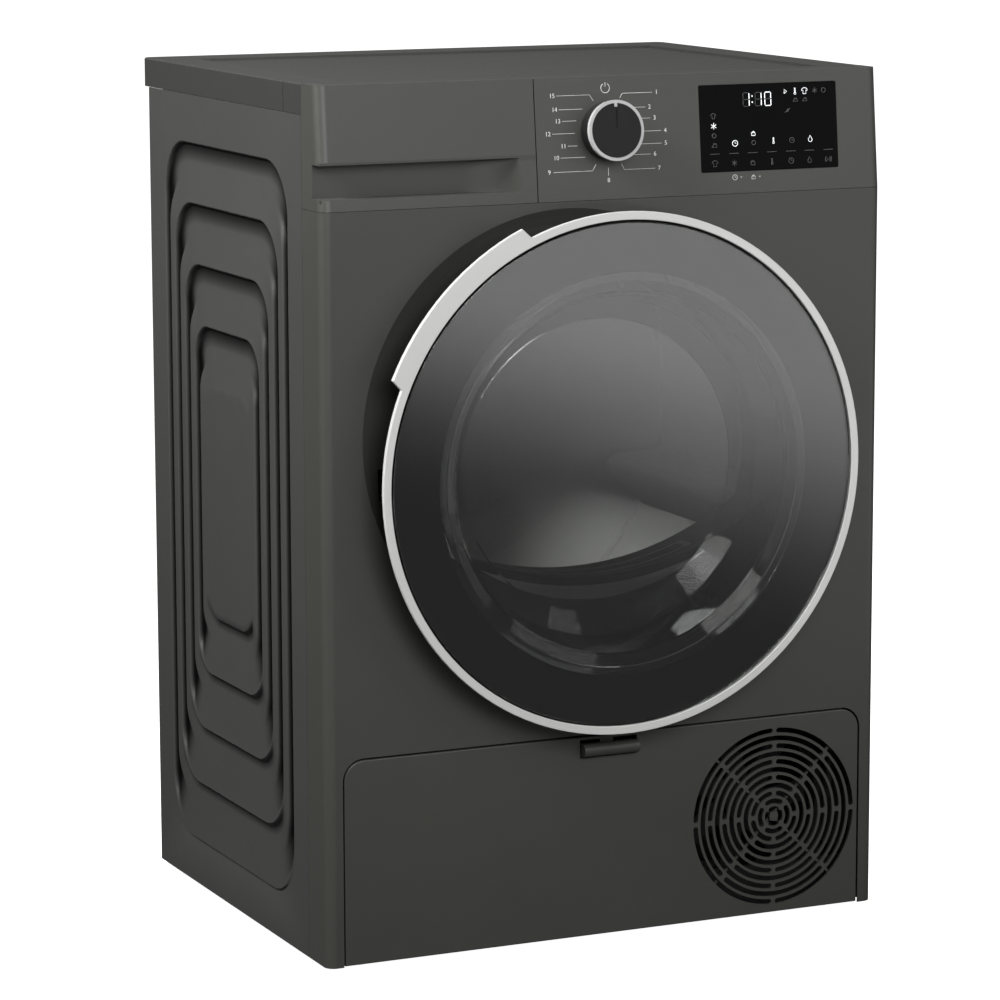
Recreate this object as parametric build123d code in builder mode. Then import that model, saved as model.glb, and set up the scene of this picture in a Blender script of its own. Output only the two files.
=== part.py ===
"""Free-standing heat-pump clothes dryer, as an assembly of separate pieces.

Units are millimetres. +X is the viewer's right, +Y the rear, +Z up. The origin is at the middle of the
foot print, on the floor. Depths are counted rearwards from the front sheet's face.
"""

import os
from math import asin, atan2, cos, degrees, radians, sin, sqrt

from build123d import *

os.makedirs("parts", exist_ok=True)

# ---------------------------------------------------------------- cabinet
HALF_W = 298.5
TOP_Z = 850.0
BODY_Z = 6.0
FRONT = -222.5
SHEET = 1.2
WRAP_D = 47.0
SIDE_D = 465.0
WORKTOP_D = 485.0
SEAM_Z = 733.0
BAND_Z = 821.0
LEAN_D = 11.5
CORNER_R = 10.0
SEAM = 0.4
REAR_Z = (12.0, 818.0)

# ---------------------------------------------------------------- side embossing
EMBOSS_D = 253.0
EMBOSS_Z = 414.0
EMBOSS_SIZE = (338.0, 718.0)
EMBOSS_STEP = (53.0, 121.0)
EMBOSS_LEVELS = 5
GROOVE_W = 15.0
GROOVE_DEPTH = 5.0
EMBOSS_R = 42.0

# ---------------------------------------------------------------- door
DOOR_Z = 471.0
DOOR_D = -40.0
RING_R = (246.0, 254.0)
GRIP_R = 266.0
GRIP_ANGLES = (113.0, 158.0)
GRIP_SLANT = 1.5
GLASS_R = 244.0
FRAME_R = (196.0, 246.0, 239.0)
BOWL_R = (178.0, 168.0)
BOWL_D = 30.0
HINGE_X = 244.0
HINGE_D = -24.0
PIN_R = 3.5
PIN_PLAY = 0.06
OPENING_R = 222.0
RECESS_SHIFT = 60.0
RECESS_ANGLE = 137.0
RECESS_R = 214.5
RECESS_DEPTH = 11.0
RECESS_SLOPE = 34.0
RECESS_PROFILE = ((0.0, 0.0), (0.2, 0.32), (0.45, 0.66), (0.72, 0.9), (1.0, 1.0))
RIM_W = 6.0

# ---------------------------------------------------------------- loading throat, filter and drum
THROAT_R = (198.0, 201.0)
THROAT_D = (6.0, 104.0)
BULKHEAD_D = (78.0, 80.5)
LIP_ARC_Z = 678.0
LIP_ARC_R = 318.0
LIP_D = (36.0, 94.0)
FILTER_HALF_W = 115.0
FILTER_D = (50.0, 74.0)
FILTER_Z = 274.0
WINDOW_PITCH = 70.0
WINDOW_HALF_W = 31.0
DRUM_Z = 478.0
DRUM_R = 268.0
DRUM_SHELL_D = (97.0, 421.0)
DRUM_MOUTH_R = 238.0
SHAFT_R = 12.5
REAR_BULKHEAD_D = (434.0, 436.0)
ROLLER_R = 25.0
ROLLER_ANGLE = 35.0
AXLE_R = 4.0
RUN_GAP = 0.35

# ---------------------------------------------------------------- drive
BELT_D = (197.0, 209.0)
BELT_T = 2.4
MOTOR_X = 60.0
MOTOR_Z = 105.0
MOTOR_R = 45.0
MOTOR_D = (222.0, 318.0)
PULLEY_R = 8.0
ROTOR_R = 5.0
IDLER_R = 12.0
IDLER_T = 40.0
ARM_T = 95.0
SCROLL_D = (338.0, 392.0)

# ---------------------------------------------------------------- base, flap and controls
FLAP_HALF_W = 280.0
FLAP_Z = (7.0, 208.0)
FLAP_D = 14.0
FLAP_SKIN = 2.5
FLAP_PIVOT = (10.0, 20.0)
GRILLE_XZ = (184.5, 106.0)
GRILLE_RINGS = 11
GRILLE_R = 88.0
GRILLE_PITCH = 8.05
SLOT_W = 5.2
RIB_W = 4.0
DRAWER_X = -76.0
DRAWER_GAP = 1.0
WALL = 2.5
GRIP_Z = (744.0, 776.0)
GRIP_D = 21.0
KNOB_Z = 798.0
KNOB_R = 29.0
KNOB_H = 22.0
DISPLAY_XZ = (175.5, 796.0)
DISPLAY_SIZE = (151.0, 84.0)
TANK_X = (-286.0, -90.0)
TANK_D = (51.0, 430.0)
TANK_Z = (743.0, 812.0)
EXCHANGER_X = (-268.0, -52.0)
EXCHANGER_D = (66.0, 335.0)
EXCHANGER_Z = (11.0, 168.0)
FOOT_XD = ((-255.0, 42.0), (255.0, 42.0), (-255.0, 440.0), (255.0, 440.0))
FOOT_NAMES = ("foot_front_left", "foot_front_right", "foot_rear_left", "foot_rear_right")
STEM_R = 5.0

LEAN = atan2(LEAN_D, TOP_Z - SEAM_Z)
FACE = Plane(origin=(0, FRONT, SEAM_Z), x_dir=(1, 0, 0), z_dir=(0, -cos(LEAN), sin(LEAN)))


# ---------------------------------------------------------------- helpers
def front_plane(depth):
    """Plane parallel to the front: local x is X, local y is Z, its normal faces the viewer."""
    return Plane.XZ.offset(-(FRONT + depth))


def block(xs, ds, zs, mode=Mode.ADD):
    """Box between two X values, two depths and two heights."""
    centre = (sum(xs) / 2, FRONT + sum(ds) / 2, sum(zs) / 2)
    with Locations(centre):
        Box(abs(xs[1] - xs[0]), abs(ds[1] - ds[0]), abs(zs[1] - zs[0]), mode=mode)


def rod(centre, radius, ds, mode=Mode.ADD):
    """Cylinder along the depth, centred on an (x, z) point."""
    with BuildSketch(front_plane(ds[0])) as section:
        with Locations(centre):
            Circle(radius)
    extrude(section.sketch, amount=ds[0] - ds[1], mode=mode)


def tube(centre, radii, ds):
    """Hollow cylinder along the depth."""
    with BuildSketch(front_plane(ds[0])) as section:
        with Locations(centre):
            Circle(radii[1])
            Circle(radii[0], mode=Mode.SUBTRACT)
    extrude(section.sketch, amount=ds[0] - ds[1])


def post(xd, radius, zs, mode=Mode.ADD):
    """Upright cylinder at an (x, depth) point."""
    with BuildSketch(Plane.XY.offset(zs[0])) as section:
        with Locations((xd[0], FRONT + xd[1])):
            Circle(radius)
    extrude(section.sketch, amount=zs[1] - zs[0], mode=mode)


def bar_x(dz, radius, xs, mode=Mode.ADD):
    """Cylinder along X, centred on a (depth, z) point."""
    with BuildSketch(Plane.YZ.offset(xs[0])) as section:
        with Locations((FRONT + dz[0], dz[1])):
            Circle(radius)
    extrude(section.sketch, amount=xs[1] - xs[0], mode=mode)


def polar(radius, angle, centre=(0.0, 0.0)):
    """Point at a radius and an angle in degrees, from a centre."""
    return centre[0] + radius * cos(radians(angle)), centre[1] + radius * sin(radians(angle))


def arc_slot(centre, radius, span, width):
    """Curved slot with round ends, drawn in the current sketch. The span is its first angle and its sweep."""
    with BuildLine() as loop:
        for side in (-1, 1):
            CenterArc(centre, radius + side * width / 2, *span)
        for angle, way in ((span[0], -1), (sum(span), 1)):
            tip = polar(width / 2, angle + 90 * way, polar(radius, angle, centre))
            inner, outer = (polar(radius + side * width / 2, angle, centre) for side in (-1, 1))
            ThreePointArc(inner, tip, outer)
    make_face(loop.edges())


def face_height(z):
    """Distance up the leaning control face for a height above the floor."""
    return (z - SEAM_Z) / cos(LEAN)


def pipe(points, radius, bend):
    """Round pipe along straight runs with equal bends. Each point is an X, a depth and a height."""
    with BuildPart() as run:
        with BuildLine() as route:
            FilletPolyline(*[(x, FRONT + d, z) for x, d, z in points], radius=bend)
        start = route.wires()[0]
        with BuildSketch(Plane(origin=start @ 0, z_dir=start % 0)):
            Circle(radius)
        sweep()
    return run.part


def save(name, part):
    """Label a finished piece and write its file."""
    part.label = name
    export_step(part, f"parts/{name}.step")


# ---------------------------------------------------------------- side panels
def emboss_outline(level, inset, grow=0.0):
    """Rounded rectangle of one embossing level, drawn in the current sketch."""
    width = EMBOSS_SIZE[0] - EMBOSS_STEP[0] * level - 2 * inset + 2 * grow
    height = EMBOSS_SIZE[1] - EMBOSS_STEP[1] * level - 2 * inset + 2 * grow
    radius = max(EMBOSS_R - 4.0 * level - inset + grow, 6.0)
    return width, height, radius


with BuildPart() as side_panel_right:
    block((HALF_W - SHEET, HALF_W), (WRAP_D + SEAM, SIDE_D), (BODY_Z, BAND_Z - SEAM))
    for level in range(EMBOSS_LEVELS):
        with BuildSketch(Plane.YZ.offset(HALF_W - SHEET - GROOVE_DEPTH)):
            with Locations((FRONT + EMBOSS_D, EMBOSS_Z)):
                RectangleRounded(*emboss_outline(level, 0.0, SHEET))
                RectangleRounded(*emboss_outline(level, GROOVE_W, -SHEET), mode=Mode.SUBTRACT)
        extrude(amount=GROOVE_DEPTH)
    for level in range(EMBOSS_LEVELS):
        with BuildSketch(Plane.YZ.offset(HALF_W)):
            with Locations((FRONT + EMBOSS_D, EMBOSS_Z)):
                RectangleRounded(*emboss_outline(level, 0.0))
                RectangleRounded(*emboss_outline(level, GROOVE_W), mode=Mode.SUBTRACT)
        extrude(amount=-GROOVE_DEPTH, mode=Mode.SUBTRACT)
save("side_panel_right", side_panel_right.part)

with BuildPart() as side_panel_left:
    add(mirror(side_panel_right.part, about=Plane.YZ, mode=Mode.PRIVATE))
save("side_panel_left", side_panel_left.part)

# ---------------------------------------------------------------- front sheet
recess_centre = polar(RECESS_SHIFT, RECESS_ANGLE, (0.0, DOOR_Z))


def recess_dish(grow):
    """Round dish of the finger recess, cut off at the door opening. It grows for the back of the sheet."""
    depth = RECESS_DEPTH + grow
    rim = recess_centre[1] - RECESS_R - grow
    slope_points = [(FRONT + drop * depth, rim + run * (RECESS_SLOPE + grow)) for run, drop in RECESS_PROFILE]
    with BuildPart() as dish:
        with BuildSketch(Plane.YZ.offset(recess_centre[0])):
            with BuildLine():
                slope = Polyline(*slope_points)
                Polyline(slope @ 1, (FRONT + depth, recess_centre[1]), (FRONT, recess_centre[1]), slope @ 0)
            make_face()
        revolve(axis=Axis((recess_centre[0], 0.0, recess_centre[1]), (0.0, 1.0, 0.0)))
        rod((0.0, DOOR_Z), OPENING_R + RIM_W - grow, (-5.0, depth + 5.0), mode=Mode.SUBTRACT)
    return dish.part


with BuildPart() as front_panel:
    block((-HALF_W, HALF_W), (0.0, WRAP_D), (BODY_Z, SEAM_Z - SEAM))
    upright = front_panel.edges().filter_by(Axis.Z).group_by(Axis.Y)[0]
    fillet(upright, CORNER_R)
    with BuildSketch(Plane.XY.offset(BODY_Z)):
        with Locations((0.0, FRONT + WRAP_D / 2 + SHEET)):
            Rectangle(2 * (HALF_W - SHEET), WRAP_D)
        fillet(vertices().group_by(Axis.Y)[0], CORNER_R - SHEET)
    extrude(amount=SEAM_Z, mode=Mode.SUBTRACT)
    add(recess_dish(SHEET))
    add(recess_dish(0.0), mode=Mode.SUBTRACT)
    rod((0.0, DOOR_Z), OPENING_R, (-5.0, RECESS_DEPTH + 5.0), mode=Mode.SUBTRACT)
    with BuildSketch(front_plane(-5.0)):
        with Locations((0.0, FLAP_Z[1] + 2.0 - 150.0)):
            RectangleRounded(2 * (FLAP_HALF_W + 1.5), 300.0, 21.5)
    extrude(amount=-20.0, mode=Mode.SUBTRACT)
    block((226.0, 241.0), (-5.0, 5.0), (DOOR_Z - 37.0, DOOR_Z + 37.0), mode=Mode.SUBTRACT)
    block((-240.0, -226.0), (-5.0, 15.0), (DOOR_Z - 15.0, DOOR_Z + 15.0), mode=Mode.SUBTRACT)
save("front_panel", front_panel.part)


# ---------------------------------------------------------------- control fascia and drawer front
def leaning_profile(inset, x_from):
    """Side outline of the leaning control housing, as a sketch on a YZ plane."""
    with BuildSketch(Plane.YZ.offset(x_from)) as profile:
        with BuildLine():
            Polyline(
                (FRONT + inset, SEAM_Z + (0.0 if inset == 0 else -5.0)),
                (FRONT + inset + LEAN_D, TOP_Z - inset),
                (FRONT + WRAP_D + inset * 5, TOP_Z - inset),
                (FRONT + WRAP_D + inset * 5, SEAM_Z + (0.0 if inset == 0 else -5.0)),
                close=True,
            )
        make_face()
    return profile.sketch


def round_front(part, x_side, radius):
    """Round the leaning corner edge at one end."""
    corner = [e for e in part.edges() if abs(e.center().X - x_side) < 0.1]
    corner = [e for e in corner if abs((e % 0.5).Z) > 0.9]
    return fillet(sorted(corner, key=lambda e: e.center().Y)[:1], radius)


FASCIA_X = DRAWER_X + DRAWER_GAP
with BuildPart() as fascia_core:
    extrude(leaning_profile(WALL, FASCIA_X + WALL), amount=HALF_W - FASCIA_X - 2 * WALL)
    round_front(fascia_core, HALF_W - WALL, CORNER_R - WALL)

with BuildPart() as control_fascia:
    extrude(leaning_profile(0.0, FASCIA_X), amount=HALF_W - FASCIA_X)
    round_front(control_fascia, HALF_W, CORNER_R)
    add(fascia_core.part, mode=Mode.SUBTRACT)
    block((-300.0, 285.0), (22.0, 60.0), (BAND_Z - 30.0, TOP_Z + 5.0), mode=Mode.SUBTRACT)
    with BuildSketch(FACE):
        with Locations((DISPLAY_XZ[0], face_height(DISPLAY_XZ[1]))):
            RectangleRounded(DISPLAY_SIZE[0] + 0.6, DISPLAY_SIZE[1] + 0.6, 2.0)
        with Locations((0.0, face_height(KNOB_Z))):
            Circle(AXLE_R + PIN_PLAY)
    extrude(amount=20.0, both=True, mode=Mode.SUBTRACT)
save("control_fascia", control_fascia.part)

with BuildPart() as drawer_core:
    extrude(leaning_profile(WALL, -HALF_W + WALL), amount=HALF_W + DRAWER_X - 2 * WALL)
    round_front(drawer_core, -HALF_W + WALL, CORNER_R - WALL)

with BuildPart() as drawer_front:
    extrude(leaning_profile(0.0, -HALF_W), amount=HALF_W + DRAWER_X)
    round_front(drawer_front, -HALF_W, CORNER_R)
    add(drawer_core.part, mode=Mode.SUBTRACT)
    block((-285.0, 0.0), (22.0, 60.0), (BAND_Z - 30.0, TOP_Z + 5.0), mode=Mode.SUBTRACT)
    block((-HALF_W + 1.0, DRAWER_X - 1.0), (4.0, GRIP_D + WALL), (GRIP_Z[0] - WALL, GRIP_Z[1] + WALL))
    block((-HALF_W + 1.0, DRAWER_X - 1.0), (44.0, 46.5), (SEAM_Z + 2.0, 800.0))
    block((-200.0, -190.0), (GRIP_D, 45.0), (SEAM_Z + 2.0, 800.0))
    with BuildSketch(Plane.XY.offset(GRIP_Z[0])):
        with BuildLine():
            bottom = Line((-HALF_W - 5.0, FRONT + GRIP_D), (-150.0, FRONT + GRIP_D))
            scoop = TangentArc(bottom @ 1, (-79.0, FRONT - 8.0), tangent=bottom % 1)
            Polyline(scoop @ 1, (-HALF_W - 5.0, FRONT - 8.0), bottom @ 0)
        make_face()
    extrude(amount=GRIP_Z[1] - GRIP_Z[0], mode=Mode.SUBTRACT)
save("drawer_front", drawer_front.part)

with BuildPart() as display_window:
    with BuildSketch(FACE.offset(-2.4)):
        with Locations((DISPLAY_XZ[0], face_height(DISPLAY_XZ[1]))):
            RectangleRounded(*DISPLAY_SIZE, 1.8)
    extrude(amount=2.4)
save("display_window", display_window.part)

with BuildPart() as control_board:
    with BuildSketch(FACE.offset(-26.0)):
        with Locations((110.0, face_height(780.0))):
            Rectangle(340.0, 68.0)
    extrude(amount=1.6)
    with BuildSketch(FACE.offset(-24.4)):
        with Locations((DISPLAY_XZ[0], face_height(783.0))):
            Rectangle(DISPLAY_SIZE[0] - 8.0, 58.0)
        with Locations((0.0, face_height(KNOB_Z))):
            Rectangle(16.0, 16.0)
            Circle(AXLE_R + PIN_PLAY, mode=Mode.SUBTRACT)
    extrude(amount=12.0)
    with BuildSketch(FACE.offset(-12.4)):
        with Locations((DISPLAY_XZ[0], face_height(DISPLAY_XZ[1]))):
            Rectangle(DISPLAY_SIZE[0] - 8.0, DISPLAY_SIZE[1] - 10.0)
    extrude(amount=9.0)
    with BuildSketch(FACE.offset(-24.4)):
        with Locations((50.0, face_height(780.0))):
            with GridLocations(24.0, 22.0, 2, 2):
                Rectangle(11.0, 9.0)
    extrude(amount=7.0)
save("control_board", control_board.part)

# ---------------------------------------------------------------- programme knob
with BuildPart() as knob_body:
    with BuildSketch(FACE.offset(0.4)):
        with Locations((0.0, face_height(KNOB_Z))):
            Circle(KNOB_R - 1.5)
    extrude(amount=KNOB_H - 5.02, taper=1.5)
    with BuildSketch(FACE.offset(-22.0)):
        with Locations((0.0, face_height(KNOB_Z))):
            Circle(AXLE_R)
    extrude(amount=24.0)
    with BuildSketch(FACE.offset(KNOB_H - 4.65)):
        with Locations((0.0, face_height(KNOB_Z))):
            Circle(KNOB_R - 3.1)
        with Locations((0.0, face_height(KNOB_Z) + KNOB_R - 4.0)):
            Rectangle(3.6, 5.6, mode=Mode.SUBTRACT)
    extrude(amount=4.65)
    with BuildSketch(FACE.offset(KNOB_H)):
        with Locations((0.0, face_height(KNOB_Z) + 11.0)):
            SlotOverall(19.0, 2.0, rotation=90)
    extrude(amount=-0.8, mode=Mode.SUBTRACT)
save("knob_body", knob_body.part)

with BuildPart() as knob_ring:
    with BuildSketch(FACE.offset(KNOB_H - 4.6)):
        with Locations((0.0, face_height(KNOB_Z))):
            Circle(KNOB_R)
            Circle(KNOB_R - 3.0, mode=Mode.SUBTRACT)
        with Locations((0.0, face_height(KNOB_Z) + KNOB_R - 4.0)):
            Rectangle(3.2, 5.0)
    extrude(amount=4.2)
save("knob_ring", knob_ring.part)

# ---------------------------------------------------------------- worktop
BOARD_X = 257.0
BOARD_D = (50.0, 430.0)
CAP_D = 92.0
CORNER_NOTCH_X = 284.6
CAP_SEAM_DEPTH = 0.8
PAST_X = 300.0
with BuildPart() as worktop_frame:
    block((-HALF_W, HALF_W), (22.4, WORKTOP_D), (BAND_Z, TOP_Z))
    fillet(worktop_frame.edges().filter_by(Axis.Z).group_by(Axis.Y)[-1], CORNER_R)
    chamfer(worktop_frame.faces().sort_by(Axis.Z)[-1].edges(), 1.2)
    for side in (-1, 1):
        notch_x = (side * CORNER_NOTCH_X, side * PAST_X)
        block(notch_x, (20.0, WRAP_D + SEAM), (BAND_Z - 5.0, TOP_Z + 5.0), mode=Mode.SUBTRACT)
    block((-BOARD_X, BOARD_X), BOARD_D, (BAND_Z + 5.0, TOP_Z + 5.0), mode=Mode.SUBTRACT)
    block((-BOARD_X + 22.0, BOARD_X - 22.0), (BOARD_D[0] + 18.0, BOARD_D[1] - 22.0), (BAND_Z - 5.0, TOP_Z),
          mode=Mode.SUBTRACT)
    for side in (-1, 1):
        seam_x = (side * (HALF_W - CAP_SEAM_DEPTH), side * PAST_X)
        block(seam_x, (CAP_D - SEAM, CAP_D + SEAM), (BAND_Z - 1.0, TOP_Z), mode=Mode.SUBTRACT)
save("worktop_frame", worktop_frame.part)

with BuildPart() as worktop_board:
    block((-BOARD_X + 0.4, BOARD_X - 0.4), (BOARD_D[0] + 0.4, BOARD_D[1] - 0.4), (BAND_Z + 5.0, TOP_Z - 2.5))
save("worktop_board", worktop_board.part)

# ---------------------------------------------------------------- rear panel and mains inlet
INLET_XZ = (232.0, 770.0)
with BuildPart() as rear_panel:
    block((-HALF_W + 5.0, HALF_W - 5.0), (461.0, 461.0 + SHEET), REAR_Z)
    with BuildSketch(front_plane(461.0)):
        with Locations((0.0, DRUM_Z)):
            Circle(205.0)
            Circle(197.0, mode=Mode.SUBTRACT)
    extrude(amount=-3.6)
    with BuildSketch(front_plane(460.0)):
        with GridLocations(44.0, 14.0, 5, 6):
            with Locations((150.0, 120.0)):
                SlotOverall(34.0, 5.0)
        with Locations(INLET_XZ):
            Rectangle(40.6, 26.6)
    extrude(amount=-6.0, mode=Mode.SUBTRACT)
save("rear_panel", rear_panel.part)

with BuildPart() as mains_inlet:
    block((INLET_XZ[0] - 20.0, INLET_XZ[0] + 20.0), (446.0, 466.0), (INLET_XZ[1] - 13.0, INLET_XZ[1] + 13.0))
    block((INLET_XZ[0] - 26.0, INLET_XZ[0] + 26.0), (462.4, 466.0), (INLET_XZ[1] - 18.0, INLET_XZ[1] + 18.0))
    block((INLET_XZ[0] - 12.0, INLET_XZ[0] + 12.0), (450.0, 470.0), (INLET_XZ[1] - 8.0, INLET_XZ[1] + 8.0),
          mode=Mode.SUBTRACT)
    for x_pin, z_pin in ((-7.0, 0.0), (7.0, 0.0), (0.0, 4.0)):
        block((INLET_XZ[0] + x_pin - 1.0, INLET_XZ[0] + x_pin + 1.0), (450.0, 462.0),
              (INLET_XZ[1] + z_pin - 2.0, INLET_XZ[1] + z_pin + 2.0))
save("mains_inlet", mains_inlet.part)

# ---------------------------------------------------------------- base tray and feet
with BuildPart() as base_tray:
    block((-290.0, 290.0), (28.0, 458.0), (BODY_Z + 0.2, 50.0))
    block((-286.5, 286.5), (31.5, 454.5), (BODY_Z + 3.2, 60.0), mode=Mode.SUBTRACT)
    for foot in FOOT_XD:
        post(foot, 9.0, (BODY_Z + 0.2, 40.0))
        post(foot, STEM_R + PIN_PLAY, (0.0, 45.0), mode=Mode.SUBTRACT)
    for side in (-1, 1):
        block((side * 282.0, side * 286.0), (3.5, 30.0), (10.0, 31.0))
        bar_x(FLAP_PIVOT, 3.0, (side * 279.0 - 7.0, side * 279.0 + 7.0))
    for rib_x in (-38.0, 110.0):
        block((rib_x, rib_x + 2.5), (31.0, 195.0), (BODY_Z + 3.0, 20.0))
save("base_tray", base_tray.part)

for foot_name, foot in zip(FOOT_NAMES, FOOT_XD):
    with BuildPart() as foot_part:
        post(foot, 19.0, (0.0, 3.0))
        post(foot, 12.0, (3.0, 5.4))
        post(foot, STEM_R, (5.0, 38.0))
    save(foot_name, foot_part.part)

# ---------------------------------------------------------------- kick flap with its grille
with BuildPart() as kick_flap:
    with BuildSketch(front_plane(0.0)):
        with Locations((0.0, sum(FLAP_Z) / 2)):
            Rectangle(2 * FLAP_HALF_W, FLAP_Z[1] - FLAP_Z[0])
        fillet(vertices().group_by(Axis.Y)[-1], 20.0)
    extrude(amount=-FLAP_D)
    with BuildSketch(front_plane(FLAP_SKIN)):
        with Locations((0.0, sum(FLAP_Z) / 2)):
            Rectangle(2 * (FLAP_HALF_W - FLAP_SKIN), FLAP_Z[1] - FLAP_Z[0] - 2 * FLAP_SKIN)
        fillet(vertices().group_by(Axis.Y)[-1], 17.5)
    extrude(amount=-FLAP_D, mode=Mode.SUBTRACT)
    fillet(kick_flap.faces().sort_by(Axis.Y)[0].outer_wire().edges(), 1.2)
    for rib_angle in (45, 135):
        with BuildSketch(front_plane(FLAP_SKIN - 0.5)):
            with Locations(GRILLE_XZ):
                Rectangle(2 * GRILLE_R + 8.0, 2.4, rotation=rib_angle)
        extrude(amount=-5.0)
    with BuildSketch(front_plane(0.0)):
        for ring in range(GRILLE_RINGS):
            radius = GRILLE_R - GRILLE_PITCH * ring
            start = 0.0 if ring % 2 == 0 and ring < GRILLE_RINGS - 2 else 45.0
            gap = degrees((RIB_W + SLOT_W) / radius) if radius > 2 * SLOT_W else 38.0
            for quarter in range(4):
                arc_slot(GRILLE_XZ, radius, (start + 90 * quarter + gap / 2, 90 - gap), SLOT_W)
    extrude(amount=-(FLAP_SKIN + 2.0), mode=Mode.SUBTRACT)
    block((-31.0, 31.0), (-1.0, 4.0), (186.5, 205.0), mode=Mode.SUBTRACT)
    for side in (-1, 1):
        bar_x(FLAP_PIVOT, 3.0 + PIN_PLAY, (side * 279.0 - 4.0, side * 279.0 + 4.0), mode=Mode.SUBTRACT)
save("kick_flap", kick_flap.part)

with BuildPart() as flap_latch:
    with BuildSketch(Plane.YZ.offset(-30.0)):
        with BuildLine():
            nose = Line((FRONT - 0.4, 189.0), (FRONT - 6.0, 189.0))
            front = ThreePointArc(nose @ 1, (FRONT - 10.0, 195.5), (FRONT - 6.0, 201.5))
            Polyline(front @ 1, (FRONT - 0.4, 201.5), nose @ 0)
        make_face()
    extrude(amount=60.0)
    block((-27.0, 27.0), (-1.0, 6.0), (191.5, 197.5))
    block((-7.0, 7.0), (4.0, 7.0), (191.5, 205.0))
    block((-29.0, 29.0), (4.0, 6.0), (184.0, 199.5))
save("flap_latch", flap_latch.part)

# ---------------------------------------------------------------- door
with BuildPart() as door_ring:
    with BuildSketch(front_plane(DOOR_D)):
        with Locations((0.0, DOOR_Z)):
            Circle(RING_R[1])
        with BuildLine():
            grip_sweep = GRIP_ANGLES[1] - GRIP_ANGLES[0] - 2 * GRIP_SLANT
            low = CenterArc((0.0, DOOR_Z), GRIP_R, GRIP_ANGLES[0] + GRIP_SLANT, grip_sweep)
            inner_end = polar(RING_R[1] - 3.0, GRIP_ANGLES[1], (0.0, DOOR_Z))
            inner_start = polar(RING_R[1] - 3.0, GRIP_ANGLES[0], (0.0, DOOR_Z))
            Polyline(low @ 1, inner_end, (0.0, DOOR_Z), inner_start, low @ 0)
        make_face()
        with Locations((0.0, DOOR_Z)):
            Circle(RING_R[0], mode=Mode.SUBTRACT)
    extrude(amount=-4.0)
    chamfer(door_ring.faces().sort_by(Axis.Y)[0].edges(), 0.5)
save("door_ring", door_ring.part)

with BuildPart() as door_glass:
    rod((0.0, DOOR_Z), GLASS_R, (DOOR_D + 0.4, DOOR_D + 4.0))
    fillet(door_glass.faces().sort_by(Axis.Y)[0].edges(), 1.0)
save("door_glass", door_glass.part)

with BuildPart() as door_frame:
    with BuildSketch(Plane.YZ) as frame_profile:
        with BuildLine():
            Polyline(
                (FRONT + DOOR_D + 4.05, DOOR_Z + FRAME_R[0]),
                (FRONT + DOOR_D + 4.05, DOOR_Z + FRAME_R[1]),
                (FRONT - 20.0, DOOR_Z + FRAME_R[1]),
                (FRONT - 1.2, DOOR_Z + FRAME_R[2]),
                (FRONT - 1.2, DOOR_Z + FRAME_R[0] + 4.0),
                (FRONT - 6.0, DOOR_Z + FRAME_R[0]),
                close=True,
            )
        make_face()
    revolve(axis=Axis((0.0, 0.0, DOOR_Z), (0.0, 1.0, 0.0)))
    block((226.0, 260.0), (-32.0, 5.0), (DOOR_Z - 45.0, DOOR_Z + 45.0), mode=Mode.SUBTRACT)
    block((203.0, 260.0), (-32.0, 5.0), (DOOR_Z - 20.6, DOOR_Z + 20.6), mode=Mode.SUBTRACT)
    block((-236.0, -229.0), (-4.0, 18.0), (DOOR_Z - 9.0, DOOR_Z + 9.0))
    block((-237.4, -229.0), (12.0, 18.0), (DOOR_Z - 9.0, DOOR_Z + 9.0))
save("door_frame", door_frame.part)

with BuildPart() as door_bowl:
    with BuildSketch(Plane.YZ):
        with BuildLine():
            Polyline(
                (FRONT - 35.8, DOOR_Z),
                (FRONT - 35.8, DOOR_Z + FRAME_R[0] - 0.3),
                (FRONT - 30.0, DOOR_Z + FRAME_R[0] - 0.3),
                (FRONT - 26.0, DOOR_Z + BOWL_R[0]),
                (FRONT + BOWL_D - 14.0, DOOR_Z + BOWL_R[1]),
                (FRONT + BOWL_D, DOOR_Z + BOWL_R[1] - 22.0),
                (FRONT + BOWL_D, DOOR_Z),
                close=True,
            )
        make_face()
    revolve(axis=Axis((0.0, 0.0, DOOR_Z), (0.0, 1.0, 0.0)))
    with BuildSketch(Plane.YZ):
        with BuildLine():
            Polyline(
                (FRONT - 40.0, DOOR_Z),
                (FRONT - 40.0, DOOR_Z + FRAME_R[0] - 8.0),
                (FRONT - 33.0, DOOR_Z + FRAME_R[0] - 8.0),
                (FRONT - 28.0, DOOR_Z + BOWL_R[0] - 3.0),
                (FRONT + BOWL_D - 15.5, DOOR_Z + BOWL_R[1] - 3.0),
                (FRONT + BOWL_D - 3.0, DOOR_Z + BOWL_R[1] - 24.0),
                (FRONT + BOWL_D - 3.0, DOOR_Z),
                close=True,
            )
        make_face()
    revolve(axis=Axis((0.0, 0.0, DOOR_Z), (0.0, 1.0, 0.0)), mode=Mode.SUBTRACT)
save("door_bowl", door_bowl.part)

with BuildPart() as door_hinge_arm:
    block((206.0, HINGE_X), (-31.9, -28.4), (DOOR_Z - 20.0, DOOR_Z + 20.0))
    post((HINGE_X, HINGE_D), 6.5, (DOOR_Z - 20.0, DOOR_Z + 20.0))
    post((HINGE_X, HINGE_D), PIN_R + PIN_PLAY, (DOOR_Z - 25.0, DOOR_Z + 25.0), mode=Mode.SUBTRACT)
save("door_hinge_arm", door_hinge_arm.part)

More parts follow.
